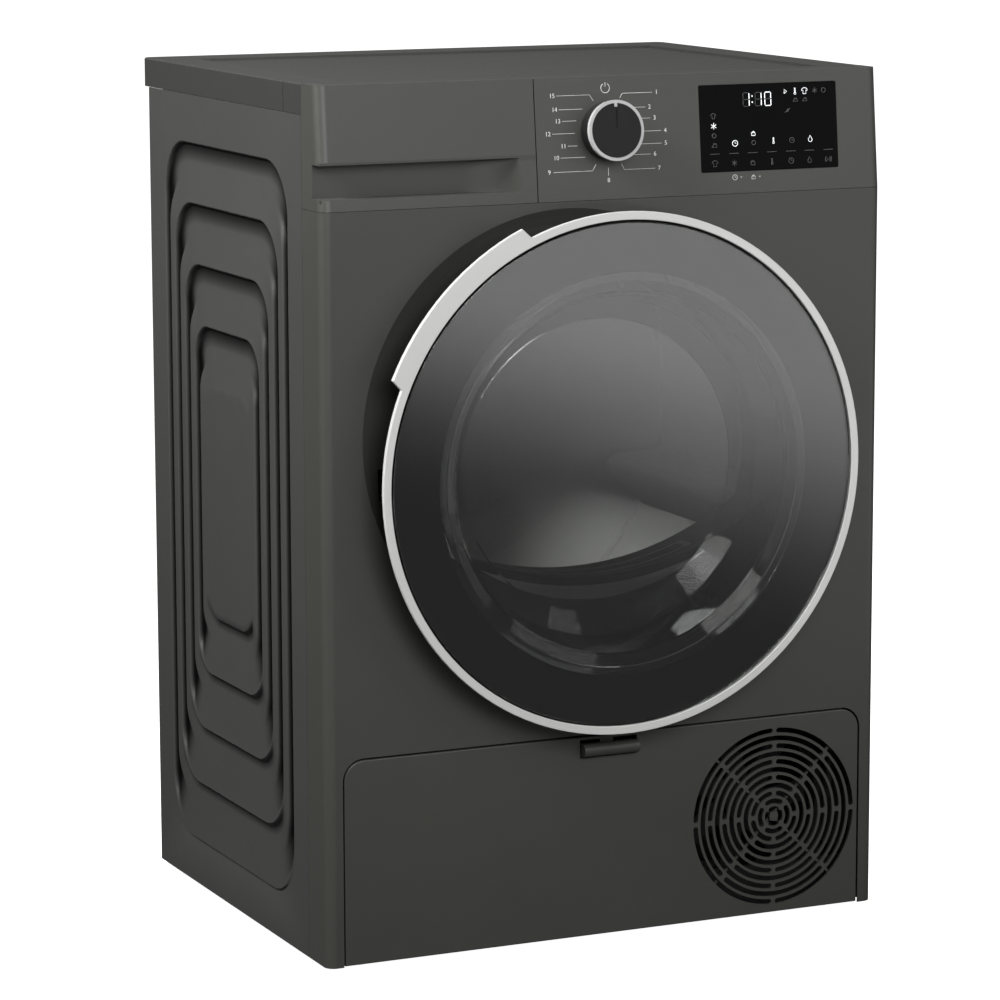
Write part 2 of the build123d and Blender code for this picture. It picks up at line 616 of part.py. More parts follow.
with BuildPart() as door_fittings:
    block((225.0, 262.0), (SHEET + 0.1, 4.2), (DOOR_Z - 42.0, DOOR_Z + 42.0))
    for side in (-1, 1):
        ear = (DOOR_Z + side * 27.0 - 6.0, DOOR_Z + side * 27.0 + 6.0)
        block((230.0, 239.0), (-18.0, 3.0), ear)
        block((230.0, HINGE_X), (-29.0, -17.0), ear)
        post((HINGE_X, HINGE_D), 6.5, ear)
    post((HINGE_X, HINGE_D), PIN_R, (DOOR_Z - 35.0, DOOR_Z + 35.0))
    block((-244.0, -220.0), (13.0, 32.0), (DOOR_Z - 19.0, DOOR_Z + 19.0))
    block((-241.0, -226.0), (10.0, 24.0), (DOOR_Z - 13.0, DOOR_Z + 13.0), mode=Mode.SUBTRACT)
save("door_fittings", door_fittings.part)

# ---------------------------------------------------------------- loading throat and front bulkhead
roller_centres = [
    polar(DRUM_R + ROLLER_R + RUN_GAP, -90.0 + side * ROLLER_ANGLE, (0.0, DRUM_Z)) for side in (-1, 1)
]
with BuildPart() as door_seal:
    tube((0.0, DOOR_Z), (THROAT_R[1] + 0.5, 218.0), (-0.8, 5.8))
    fillet(door_seal.faces().sort_by(Axis.Y)[0].edges(), 2.0)
save("door_seal", door_seal.part)

with BuildPart() as loading_throat:
    tube((0.0, DOOR_Z), THROAT_R, THROAT_D)
    tube((0.0, DOOR_Z), (THROAT_R[0], 221.0), (6.0, 8.5))
    tube((0.0, DOOR_Z), (THROAT_R[0], 216.0), (75.5, 77.9))
    with BuildSketch(front_plane(LIP_D[0])):
        with Locations((0.0, DOOR_Z)):
            Circle(THROAT_R[0] + 1.0)
        with Locations((0.0, LIP_ARC_Z)):
            Circle(LIP_ARC_R, mode=Mode.SUBTRACT)
    extrude(amount=LIP_D[0] - LIP_D[1])
    block((-FILTER_HALF_W - 0.6, FILTER_HALF_W + 0.6), (FILTER_D[0] - 0.6, FILTER_D[1] + 0.6), (240.0, 440.0),
          mode=Mode.SUBTRACT)
    for strip_z in (334.0, 346.0):
        block((-42.0, 42.0), (LIP_D[1] - 1.0, LIP_D[1] + 1.6), (strip_z, strip_z + 5.0))
save("loading_throat", loading_throat.part)

with BuildPart() as front_bulkhead:
    block((-288.0, 288.0), BULKHEAD_D, (212.0, 736.0))
    rod((0.0, DOOR_Z), THROAT_R[1] + 0.5, (70.0, 90.0), mode=Mode.SUBTRACT)
    with BuildSketch(front_plane(BULKHEAD_D[0])):
        with Locations((0.0, DRUM_Z)):
            Circle(276.0)
            Circle(272.0, mode=Mode.SUBTRACT)
        with Locations((0.0, 100.0), (0.0, 899.0)):
            Rectangle(700.0, 330.0, mode=Mode.SUBTRACT)
    extrude(amount=-14.0)
    for centre in roller_centres:
        rod(centre, AXLE_R, (BULKHEAD_D[0], 121.0))
        rod(centre, AXLE_R + 5.0, (BULKHEAD_D[0], 102.0))
save("front_bulkhead", front_bulkhead.part)

with BuildPart() as lint_filter:
    with BuildSketch(front_plane(FILTER_D[0])):
        with Locations((0.0, FILTER_Z + 100.0)):
            Rectangle(2 * FILTER_HALF_W, 200.0)
        with Locations((0.0, LIP_ARC_Z)):
            Circle(LIP_ARC_R, mode=Mode.SUBTRACT)
    extrude(amount=FILTER_D[0] - FILTER_D[1])
    pocket_x = (-FILTER_HALF_W + 6.0, FILTER_HALF_W - 6.0)
    block(pocket_x, (FILTER_D[0] + 4.0, FILTER_D[1] - 4.0), (FILTER_Z + 5.0, 450.0), mode=Mode.SUBTRACT)
    for column in (-1, 0, 1):
        window_x = (column * WINDOW_PITCH - WINDOW_HALF_W, column * WINDOW_PITCH + WINDOW_HALF_W)
        window_d = (FILTER_D[0] - 10.0, FILTER_D[1] + 16.0)
        block(window_x, window_d, (FILTER_Z + 12.0, 348.0), mode=Mode.SUBTRACT)
    for mesh_d in (FILTER_D[0] + 3.0, FILTER_D[1] - 3.6):
        block((-FILTER_HALF_W + 5.0, FILTER_HALF_W - 5.0), (mesh_d, mesh_d + 0.6), (FILTER_Z + 4.0, 350.0))
save("lint_filter", lint_filter.part)

# ---------------------------------------------------------------- drum
with BuildPart() as drum_shell:
    tube((0.0, DRUM_Z), (DRUM_R - SHEET, DRUM_R), DRUM_SHELL_D)
    tube((0.0, DRUM_Z), (DRUM_MOUTH_R, DRUM_R), (DRUM_SHELL_D[0], DRUM_SHELL_D[0] + SHEET))
save("drum_shell", drum_shell.part)

CLUSTER_ROWS = 4
CLUSTER_PITCH = 13.0
with BuildPart() as drum_back:
    rod((0.0, DRUM_Z), DRUM_R - SHEET - 0.05, (416.0, 417.2))
    tube((0.0, DRUM_Z), (DRUM_R - 4.0, DRUM_R - SHEET - 0.05), (410.0, 417.0))
    with BuildSketch(front_plane(412.0)):
        with Locations((0.0, DRUM_Z)):
            Circle(178.0)
    extrude(amount=-5.2, taper=-30)
    with BuildSketch(front_plane(413.2)):
        with Locations((0.0, DRUM_Z)):
            Circle(177.0)
    extrude(amount=-5.2, taper=-30, mode=Mode.SUBTRACT)
    with BuildSketch(front_plane(400.0)):
        with Locations((0.0, DRUM_Z)):
            with PolarLocations(105.0, 6):
                for row in range(CLUSTER_ROWS):
                    for hole in range(row + 1):
                        with Locations(((row - 1.5) * CLUSTER_PITCH, (hole - row / 2) * CLUSTER_PITCH)):
                            Circle(3.2)
    extrude(amount=-30.0, mode=Mode.SUBTRACT)
save("drum_back", drum_back.part)

with BuildPart() as drum_lifters:
    for lifter_angle in (-20.0, 100.0, 220.0):
        lifter_plane = front_plane(112.0)
        with BuildSketch(lifter_plane):
            root = DRUM_R - SHEET - 0.3
            half = degrees(asin(32.0 / root))
            tip = DRUM_R - 55.0
            with BuildLine():
                foot_arc = CenterArc((0.0, DRUM_Z), root, lifter_angle - half, 2 * half)
                side_a = Line(foot_arc @ 1, polar(tip, lifter_angle + 2.6, (0.0, DRUM_Z)))
                nose = ThreePointArc(
                    side_a @ 1,
                    polar(tip - 5.0, lifter_angle, (0.0, DRUM_Z)),
                    polar(tip, lifter_angle - 2.6, (0.0, DRUM_Z)),
                )
                Line(nose @ 1, foot_arc @ 0)
            make_face()
        extrude(amount=-292.0)
save("drum_lifters", drum_lifters.part)

with BuildPart() as drum_shaft:
    for spoke in (30.0, 150.0, 270.0):
        with BuildSketch(front_plane(417.3)):
            with Locations((0.0, DRUM_Z)):
                with PolarLocations(0.0, 1, start_angle=spoke):
                    with Locations((90.0, 0.0)):
                        Rectangle(180.0, 34.0)
        extrude(amount=-4.0)
    rod((0.0, DRUM_Z), 38.0, (417.3, 425.0))
    rod((0.0, DRUM_Z), SHAFT_R, (420.0, 452.0))
save("drum_shaft", drum_shaft.part)

with BuildPart() as drum_seals:
    tube((0.0, DRUM_Z), (246.0, 262.0), (BULKHEAD_D[1] + 0.05, DRUM_SHELL_D[0] - RUN_GAP))
    tube((0.0, DRUM_Z), (232.0, 262.0), (DRUM_SHELL_D[1] + RUN_GAP, REAR_BULKHEAD_D[0] - 0.05))
save("drum_seals", drum_seals.part)

for roller_name, centre in zip(("roller_left", "roller_right"), roller_centres):
    with BuildPart() as roller:
        tube(centre, (AXLE_R + PIN_PLAY, ROLLER_R), (103.0, 117.0))
        fillet(roller.edges().filter_by(GeomType.CIRCLE).group_by(SortBy.LENGTH)[-1], 1.5)
    save(roller_name, roller.part)

# ---------------------------------------------------------------- rear bulkhead, bearing and hot-air pan
with BuildPart() as rear_bulkhead:
    block((-288.0, 288.0), REAR_BULKHEAD_D, (52.0, 736.0))
    with BuildSketch(front_plane(REAR_BULKHEAD_D[0])):
        with Locations((0.0, DRUM_Z)):
            with PolarLocations(130.0, 12):
                SlotOverall(80.0, 26.0)
        with Locations((105.0, 186.0)):
            Rectangle(66.0, 24.0)
    extrude(amount=-5.0, mode=Mode.SUBTRACT)
    rod((0.0, DRUM_Z), 30.0, (432.0, 446.0))
    rod((0.0, DRUM_Z), SHAFT_R + PIN_PLAY, (430.0, 450.0), mode=Mode.SUBTRACT)
save("rear_bulkhead", rear_bulkhead.part)


def pan_outline(inset):
    """Keyhole outline of the hot-air pan, drawn in the current sketch."""
    with Locations((0.0, DRUM_Z)):
        Circle(195.0 - inset)
    with BuildLine() as neck:
        Polyline(
            (150.0 - inset, DRUM_Z - 60.0),
            (150.0 - inset, 160.0 + inset),
            (60.0 + inset, 160.0 + inset),
            (-60.0 + inset, DRUM_Z - 150.0),
            (0.0, DRUM_Z),
            close=True,
        )
    make_face(neck.edges())


with BuildPart() as air_pan:
    with BuildSketch(front_plane(REAR_BULKHEAD_D[1] + 0.05)):
        pan_outline(0.0)
    extrude(amount=-22.0)
    with BuildSketch(front_plane(REAR_BULKHEAD_D[1])):
        pan_outline(2.0)
    extrude(amount=-20.0, mode=Mode.SUBTRACT)
save("air_pan", air_pan.part)

# ---------------------------------------------------------------- drive: motor, fan, belt and tensioner
MOTOR = (MOTOR_X, MOTOR_Z)
DRUM = (0.0, DRUM_Z)
span = sqrt((MOTOR[0] - DRUM[0]) ** 2 + (MOTOR[1] - DRUM[1]) ** 2)
belt_in_drum = DRUM_R + RUN_GAP
belt_in_pulley = PULLEY_R + RUN_GAP
line_angle = degrees(atan2(MOTOR[1] - DRUM[1], MOTOR[0] - DRUM[0]))


radius_ratio = (belt_in_drum - belt_in_pulley) / span
wrap = degrees(atan2(sqrt(1 - radius_ratio**2), radius_ratio))


def belt_outline(grow):
    """Belt loop round drum and pulley, grown outwards, drawn in the current sketch."""
    with BuildLine() as loop:
        drum_left = polar(belt_in_drum + grow, line_angle - wrap, DRUM)
        drum_right = polar(belt_in_drum + grow, line_angle + wrap, DRUM)
        pulley_left = polar(belt_in_pulley + grow, line_angle - wrap, MOTOR)
        pulley_right = polar(belt_in_pulley + grow, line_angle + wrap, MOTOR)
        ThreePointArc(drum_left, polar(belt_in_drum + grow, line_angle + 180.0, DRUM), drum_right)
        Line(drum_right, pulley_right)
        ThreePointArc(pulley_right, polar(belt_in_pulley + grow, line_angle, MOTOR), pulley_left)
        Line(pulley_left, drum_left)
    make_face(loop.edges())


with BuildPart() as drum_belt:
    with BuildSketch(front_plane(BELT_D[0])):
        belt_outline(BELT_T)
    extrude(amount=BELT_D[0] - BELT_D[1])
    with BuildSketch(front_plane(BELT_D[0] - 1.0)):
        belt_outline(0.0)
    extrude(amount=BELT_D[0] - BELT_D[1] - 2.0, mode=Mode.SUBTRACT)
save("drum_belt", drum_belt.part)

strand_foot = Vector(*polar(belt_in_pulley, line_angle - wrap, MOTOR))
strand_head = Vector(*polar(belt_in_drum, line_angle - wrap, DRUM))
along = (strand_head - strand_foot).normalized()
outward = Vector(*polar(1.0, line_angle - wrap))
idler_offset = BELT_T + IDLER_R + RUN_GAP
idler_centre = strand_foot + along * IDLER_T + outward * idler_offset
pivot_centre = strand_foot + along * ARM_T + outward * idler_offset
IDLER = (idler_centre.X, idler_centre.Y)
PIVOT = (pivot_centre.X, pivot_centre.Y)

with BuildPart() as motor_body:
    tube(MOTOR, (ROTOR_R + PIN_PLAY, MOTOR_R), MOTOR_D)
    fillet(motor_body.edges().filter_by(GeomType.CIRCLE).group_by(SortBy.LENGTH)[-1], 4.0)
    with BuildSketch(front_plane(MOTOR_D[0] + 20.0)):
        with Locations(MOTOR):
            with PolarLocations(MOTOR_R, 18):
                Rectangle(4.0, 3.0)
    extrude(amount=-56.0, mode=Mode.SUBTRACT)
    with BuildSketch(front_plane(216.0)):
        with BuildLine():
            Polyline(
                (MOTOR_X - 48.0, 9.4),
                (MOTOR_X + 48.0, 9.4),
                (MOTOR_X + 44.0, 140.0),
                (PIVOT[0] + 4.0, PIVOT[1] + 11.0),
                (PIVOT[0] - 9.0, PIVOT[1] + 4.0),
                (PIVOT[0] - 4.0, PIVOT[1] - 12.0),
                close=True,
            )
        make_face()
        with Locations(MOTOR):
            Circle(14.0, mode=Mode.SUBTRACT)
    extrude(amount=-6.0)
    with BuildSketch(front_plane(318.0)):
        with Locations((MOTOR_X, 60.0)):
            Rectangle(96.0, 101.0)
        with Locations(MOTOR):
            Circle(14.0, mode=Mode.SUBTRACT)
    extrude(amount=-4.0)
    block((MOTOR_X - 48.0, MOTOR_X + 48.0), (219.0, 322.0), (9.4, 13.0))
    rod(PIVOT, 3.0, (210.8, 218.0))
save("motor_body", motor_body.part)

with BuildPart() as motor_rotor:
    rod(MOTOR, ROTOR_R, (190.0, 386.0))
    rod(MOTOR, PULLEY_R, (194.0, 212.0))
    rod(MOTOR, PULLEY_R + 3.0, (191.0, 194.5))
    rod(MOTOR, PULLEY_R + 3.0, (211.5, 214.0))
save("motor_rotor", motor_rotor.part)

FAN_R = 70.0
with BuildPart() as process_fan:
    rod(MOTOR, FAN_R, (352.0, 354.0))
    rod(MOTOR, 13.0, (352.0, 380.0))
    with BuildSketch(front_plane(353.0)):
        with Locations(MOTOR):
            with PolarLocations(57.0, 30):
                Rectangle(24.0, 1.6, rotation=35)
    extrude(amount=-27.0)
    tube(MOTOR, (FAN_R - 14.0, FAN_R), (380.0, 381.6))
    rod(MOTOR, ROTOR_R, (340.0, 390.0), mode=Mode.SUBTRACT)
save("process_fan", process_fan.part)

with BuildPart() as fan_scroll:
    block((-24.0, 144.0), SCROLL_D, (14.0, 196.0))
    rod(MOTOR, 76.0, (SCROLL_D[0] + WALL, SCROLL_D[1] - WALL), mode=Mode.SUBTRACT)
    block((74.0, 136.0), (SCROLL_D[0] + WALL, SCROLL_D[1] - WALL), (MOTOR_Z, 193.0), mode=Mode.SUBTRACT)
    rod(MOTOR, 12.0, (SCROLL_D[0] - 5.0, SCROLL_D[0] + 10.0), mode=Mode.SUBTRACT)
    rod(MOTOR, 48.0, (SCROLL_D[1] - 10.0, SCROLL_D[1] + 5.0), mode=Mode.SUBTRACT)
    block((72.0, 138.0), (SCROLL_D[1] - 1.0, 433.9), (172.5, 200.0))
    block((74.5, 135.5), (SCROLL_D[1] - 10.0, 440.0), (175.0, 193.0), mode=Mode.SUBTRACT)
save("fan_scroll", fan_scroll.part)

arm_angle = degrees(atan2(IDLER[1] - PIVOT[1], IDLER[0] - PIVOT[0]))
with BuildPart() as tensioner_arm:
    with BuildSketch(front_plane(211.6)):
        with Locations(IDLER, PIVOT):
            Circle(8.0)
        with Locations(((IDLER[0] + PIVOT[0]) / 2, (IDLER[1] + PIVOT[1]) / 2)):
            Rectangle(ARM_T - IDLER_T, 12.0, rotation=arm_angle)
        with Locations(PIVOT):
            Circle(3.0 + PIN_PLAY, mode=Mode.SUBTRACT)
    extrude(amount=-3.6)
    rod(IDLER, AXLE_R, (195.5, 212.0))
save("tensioner_arm", tensioner_arm.part)

with BuildPart() as idler_pulley:
    tube(IDLER, (AXLE_R + PIN_PLAY, IDLER_R), (196.2, 211.0))
save("idler_pulley", idler_pulley.part)

# ---------------------------------------------------------------- heat pump
def duct_section(height, grow):
    """Outline of the intake chute at one height: wide under the filter, offset over the evaporator."""
    top = height > EXCHANGER_Z[1] + 50.0
    centre = (-1.0, FRONT + 62.0) if top else (-160.0, FRONT + 71.0)
    size = (2 * FILTER_HALF_W, 21.0) if top else (202.0, 9.0)
    with BuildSketch(Plane.XY.offset(height)) as outline:
        with Locations(centre):
            Rectangle(size[0] + 2 * grow, size[1] + 2 * grow)
    return outline.sketch


CHUTE_TOP = 268.0
with BuildPart() as air_ducts:
    block(EXCHANGER_X, EXCHANGER_D, EXCHANGER_Z)
    loft([duct_section(EXCHANGER_Z[1] - 1.0, 2.0), duct_section(CHUTE_TOP, 2.0)])
    block((-200.0, EXCHANGER_X[1]), (334.0, 432.0), (14.0, EXCHANGER_Z[1]))
    block((EXCHANGER_X[1] - 5.0, 122.0), (394.0, 432.0), (14.0, EXCHANGER_Z[1]))
    loft([duct_section(EXCHANGER_Z[1] - 8.0, 0.0), duct_section(CHUTE_TOP + 0.1, 0.0)], mode=Mode.SUBTRACT)
    chamber_x = (EXCHANGER_X[0] + 3.0, EXCHANGER_X[1] - 3.0)
    block(chamber_x, (0.0, 333.0), (EXCHANGER_Z[0] + 3.0, EXCHANGER_Z[1] - 3.0), mode=Mode.SUBTRACT)
    block((-197.5, EXCHANGER_X[1] - WALL), (330.0, 429.5), (16.5, EXCHANGER_Z[1] - WALL), mode=Mode.SUBTRACT)
    block((EXCHANGER_X[1] - 10.0, 119.5), (396.5, 429.5), (16.5, EXCHANGER_Z[1] - WALL), mode=Mode.SUBTRACT)
    rod(MOTOR, 48.0, (390.0, 400.0), mode=Mode.SUBTRACT)
save("air_ducts", air_ducts.part)


LEVER_X = (-244.0, -76.0)
LEVER_Z = 95.0
LEVER_PIN_R = 2.96
CORE_X = (EXCHANGER_X[0] + 10.0, EXCHANGER_X[1] - 16.0)
CORE_Z = (EXCHANGER_Z[0] + 3.2, EXCHANGER_Z[1] - 4.0)
FINS = 24
TUBE_ROWS = 5
with BuildPart() as heat_exchangers:
    for core_d in ((88.0, 196.0), (212.0, 322.0)):
        fin_pitch = (CORE_X[1] - CORE_X[0]) / FINS
        for fin in range(FINS + 1):
            fin_x = CORE_X[0] + fin_pitch * fin
            block((fin_x - 0.6, fin_x + 0.6), core_d, CORE_Z)
        for row in range(TUBE_ROWS):
            tube_z = CORE_Z[0] + (CORE_Z[1] - CORE_Z[0]) * (row + 0.5) / TUBE_ROWS
            for tube_d in (core_d[0] + 28.0, core_d[1] - 28.0):
                bar_x((tube_d, tube_z), 5.0, (CORE_X[0] - 4.0, CORE_X[1] + 8.0))
            bend_d = (core_d[0] + 28.0, core_d[1] - 28.0)
            block((CORE_X[1] + 2.0, CORE_X[1] + 8.0), bend_d, (tube_z - 4.0, tube_z + 4.0))
save("heat_exchangers", heat_exchangers.part)

with BuildPart() as exchanger_cover:
    block((EXCHANGER_X[0], EXCHANGER_X[1]), (58.0, 65.9), (EXCHANGER_Z[0] + 0.5, EXCHANGER_Z[1] - 1.5))
    plug_x = (EXCHANGER_X[0] + 4.0, EXCHANGER_X[1] - 4.0)
    block(plug_x, (65.0, 66.1), (EXCHANGER_Z[0] + 4.0, EXCHANGER_Z[1] - 4.0))
    block((-190.0, -130.0), (54.0, 58.0), (80.0, 92.0))
    for lever_x in LEVER_X:
        rod((lever_x, LEVER_Z), LEVER_PIN_R + PIN_PLAY, (50.0, 64.0), mode=Mode.SUBTRACT)
save("exchanger_cover", exchanger_cover.part)

for lever_name, lever_x, reach in zip(("cover_lever_left", "cover_lever_right"), LEVER_X, (1, -1)):
    with BuildPart() as lever:
        rod((lever_x, LEVER_Z), 11.0, (50.0, 57.7))
        block((lever_x, lever_x + reach * 40.0), (50.0, 55.0), (LEVER_Z - 7.0, LEVER_Z + 7.0))
        rod((lever_x, LEVER_Z), LEVER_PIN_R, (55.0, 63.0))
    save(lever_name, lever.part)

COMPRESSOR_XD = (190.0, 200.0)
PIPE_TOP_Z = 188.0
PIPE_R = 4.0
PIPE_BEND = 8.0
SUCTION_RUN = (
    (180.0, 172.0, 156.0),
    (180.0, 172.0, PIPE_TOP_Z),
    (-34.0, 172.0, PIPE_TOP_Z),
    (-34.0, 150.0, 120.0),
    (-51.6, 150.0, 120.0),
)
DISCHARGE_RUN = (
    (196.0, 240.0, 150.0),
    (196.0, 240.0, PIPE_TOP_Z),
    (-36.0, 240.0, PIPE_TOP_Z),
    (-36.0, 262.0, 110.0),
    (-51.6, 262.0, 110.0),
)
suction_pipe = pipe(SUCTION_RUN, PIPE_R, PIPE_BEND)
discharge_pipe = pipe(DISCHARGE_RUN, PIPE_R, PIPE_BEND)
with BuildPart() as compressor:
    post(COMPRESSOR_XD, 56.0, (22.0, 158.0))
    fillet(compressor.edges().filter_by(GeomType.CIRCLE), 14.0)
    with BuildSketch(Plane.XY.offset(16.0)):
        with Locations((COMPRESSOR_XD[0], FRONT + COMPRESSOR_XD[1])):
            with PolarLocations(52.0, 3, start_angle=30):
                Rectangle(44.0, 34.0)
    extrude(amount=8.0)
    with BuildSketch(Plane.XY.offset(9.4)):
        with Locations((COMPRESSOR_XD[0], FRONT + COMPRESSOR_XD[1])):
            with PolarLocations(62.0, 3, start_angle=30):
                Circle(9.0)
    extrude(amount=6.8)
    add(suction_pipe)
    add(discharge_pipe)
save("compressor", compressor.part)

HOSE_RUN = ((-225.0, 385.0, 71.0), (-225.0, 385.0, 112.0), (-281.0, 416.0, 190.0), (-281.0, 416.0, 737.5))
condensate_hose = pipe(HOSE_RUN, 4.5, 14.0)
with BuildPart() as condensate_pump:
    block((-262.0, -206.0), (342.0, 420.0), (9.4, 40.0))
    post((-234.0, 378.0), 22.0, (38.0, 66.0))
    post((-225.0, 385.0), 6.0, (60.0, 72.4))
    add(condensate_hose)
save("condensate_pump", condensate_pump.part)

# ---------------------------------------------------------------- compressor cooling and inverter
COOLER_Z = GRILLE_XZ[1]
with BuildPart() as cooling_shroud:
    block((GRILLE_XZ[0] - 84.0, GRILLE_XZ[0] + 84.0), (56.0, 96.0), (COOLER_Z - 84.0, COOLER_Z + 84.0))
    rod(GRILLE_XZ, 78.0, (50.0, 100.0), mode=Mode.SUBTRACT)
    with BuildSketch(front_plane(91.0)):
        with Locations(GRILLE_XZ):
            Rectangle(160.0, 8.0, rotation=45)
            Rectangle(160.0, 8.0, rotation=-45)
            Circle(22.0)
            Circle(3.02, mode=Mode.SUBTRACT)
    extrude(amount=-4.0)
    block((GRILLE_XZ[0] - 60.0, GRILLE_XZ[0] + 60.0), (66.0, 90.0), (9.4, COOLER_Z - 83.0))
save("cooling_shroud", cooling_shroud.part)

with BuildPart() as cooling_fan:
    rod(GRILLE_XZ, 20.0, (66.0, 90.0))
    with BuildSketch(front_plane(72.0)):
        with Locations(GRILLE_XZ):
            with PolarLocations(46.0, 7):
                Rectangle(56.0, 22.0, rotation=8)
    extrude(amount=-3.0)
    rod(GRILLE_XZ, 2.94, (88.0, 95.0))
save("cooling_fan", cooling_fan.part)

with BuildPart() as inverter_box:
    block((172.0, 278.0), (300.0, 424.0), (9.4, 84.0))
    block((174.5, 275.5), (302.5, 421.5), (12.0, 90.0), mode=Mode.SUBTRACT)
    block((180.0, 270.0), (310.0, 414.0), (16.0, 18.0))
    for pad_x, pad_d in ((184.0, 314.0), (266.0, 314.0), (184.0, 410.0), (266.0, 410.0)):
        post((pad_x, pad_d), 3.0, (11.0, 17.0))
    for coil_d in (336.0, 362.0, 388.0):
        post((210.0, coil_d), 9.0, (17.0, 46.0))
        block((232.0, 262.0), (coil_d - 6.0, coil_d + 6.0), (17.0, 40.0))
save("inverter_box", inverter_box.part)

# ---------------------------------------------------------------- water tank
with BuildPart() as tank_housing:
    block((-292.0, -84.0), (50.0, 433.0), (738.0, 790.0))
    block((-289.5, -86.5), (40.0, 430.5), (740.5, 800.0), mode=Mode.SUBTRACT)
save("tank_housing", tank_housing.part)

with BuildPart() as water_tank:
    block(TANK_X, (TANK_D[0] - 3.0, TANK_D[1] - 2.0), (TANK_Z[0], TANK_Z[1] - 3.0))
    fillet(water_tank.edges().filter_by(Axis.Z), 12.0)
    block((TANK_X[0] + 2.5, TANK_X[1] - 2.5), (TANK_D[0], TANK_D[1] - 5.0), (TANK_Z[0] + 2.5, TANK_Z[1]),
          mode=Mode.SUBTRACT)
save("water_tank", water_tank.part)

with BuildPart() as tank_lid:
    block(TANK_X, (TANK_D[0] - 3.0, TANK_D[1] - 2.0), (TANK_Z[1] - 2.95, TANK_Z[1]))
    fillet(tank_lid.edges().filter_by(Axis.Z), 12.0)
    post((-220.0, 110.0), 19.0, (TANK_Z[1] - 0.1, TANK_Z[1] + 3.0))
save("tank_lid", tank_lid.part)

# ---------------------------------------------------------------- fasteners
with BuildPart() as screws:
    for screw_x in (-284.0, 0.0, 284.0):
        for screw_z in (60.0, 320.0, 560.0, 800.0):
            rod((screw_x, screw_z), 4.0, (462.3, 465.0))
save("screws", screws.part)
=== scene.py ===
"""Looks of the clothes dryer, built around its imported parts. Units are metres in the parts' own frame."""

import logging
import math
from dataclasses import dataclass
from enum import Enum

import bmesh
import bpy
from mathutils import Matrix, Vector


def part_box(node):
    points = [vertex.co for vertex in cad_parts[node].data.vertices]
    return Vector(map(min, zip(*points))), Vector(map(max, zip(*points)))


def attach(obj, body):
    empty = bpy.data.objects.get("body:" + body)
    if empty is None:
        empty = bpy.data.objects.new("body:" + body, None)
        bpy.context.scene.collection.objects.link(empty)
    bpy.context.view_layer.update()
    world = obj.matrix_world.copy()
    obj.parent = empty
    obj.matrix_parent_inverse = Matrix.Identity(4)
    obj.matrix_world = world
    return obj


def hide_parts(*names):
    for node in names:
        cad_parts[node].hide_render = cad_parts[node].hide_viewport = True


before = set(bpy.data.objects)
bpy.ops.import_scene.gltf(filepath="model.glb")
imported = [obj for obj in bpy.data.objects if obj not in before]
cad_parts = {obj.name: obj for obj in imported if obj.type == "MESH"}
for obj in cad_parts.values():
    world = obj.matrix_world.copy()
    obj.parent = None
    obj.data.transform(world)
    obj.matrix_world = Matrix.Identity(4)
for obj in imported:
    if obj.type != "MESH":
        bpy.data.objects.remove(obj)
log = logging.getLogger("dryer")

MM = 0.001
Point = tuple[float, float]
Line = list[Point]
Colour = tuple[float, float, float]
VECTOR, COLOUR, FLOAT = "NodeSocketVector", "NodeSocketColor", "NodeSocketFloat"


# ---------------------------------------------------------------- shader building
def put(tree: bpy.types.NodeTree, kind: str, given: dict | None = None, **settings) -> bpy.types.Node:
    """Add a node to a tree.

    Args:
        tree: The node tree.
        kind: The node's Blender type name.
        given: Input names or numbers with their constant values.
        **settings: Property names and values, set before the inputs.

    Returns:
        The new node.
    """
    made = tree.nodes.new(kind)
    for key, value in settings.items():
        setattr(made, key, value)
    for key, value in (given or {}).items():
        made.inputs[key].default_value = value
    return made


def wire(tree: bpy.types.NodeTree, *rows: tuple) -> None:
    """Join nodes.

    Args:
        tree: The node tree.
        *rows: A source node and its output, then a target node and its input.
    """
    for source, output, target, socket in rows:
        tree.links.new(source.outputs[output], target.inputs[socket])


def show(name: str, data: bpy.types.ID) -> bpy.types.Object:
    """Add an object to the scene.

    Args:
        name: The object's name.
        data: Its mesh, curve, light or camera.

    Returns:
        The new object.
    """
    obj = bpy.data.objects.new(name, data)
    bpy.context.scene.collection.objects.link(obj)
    return obj


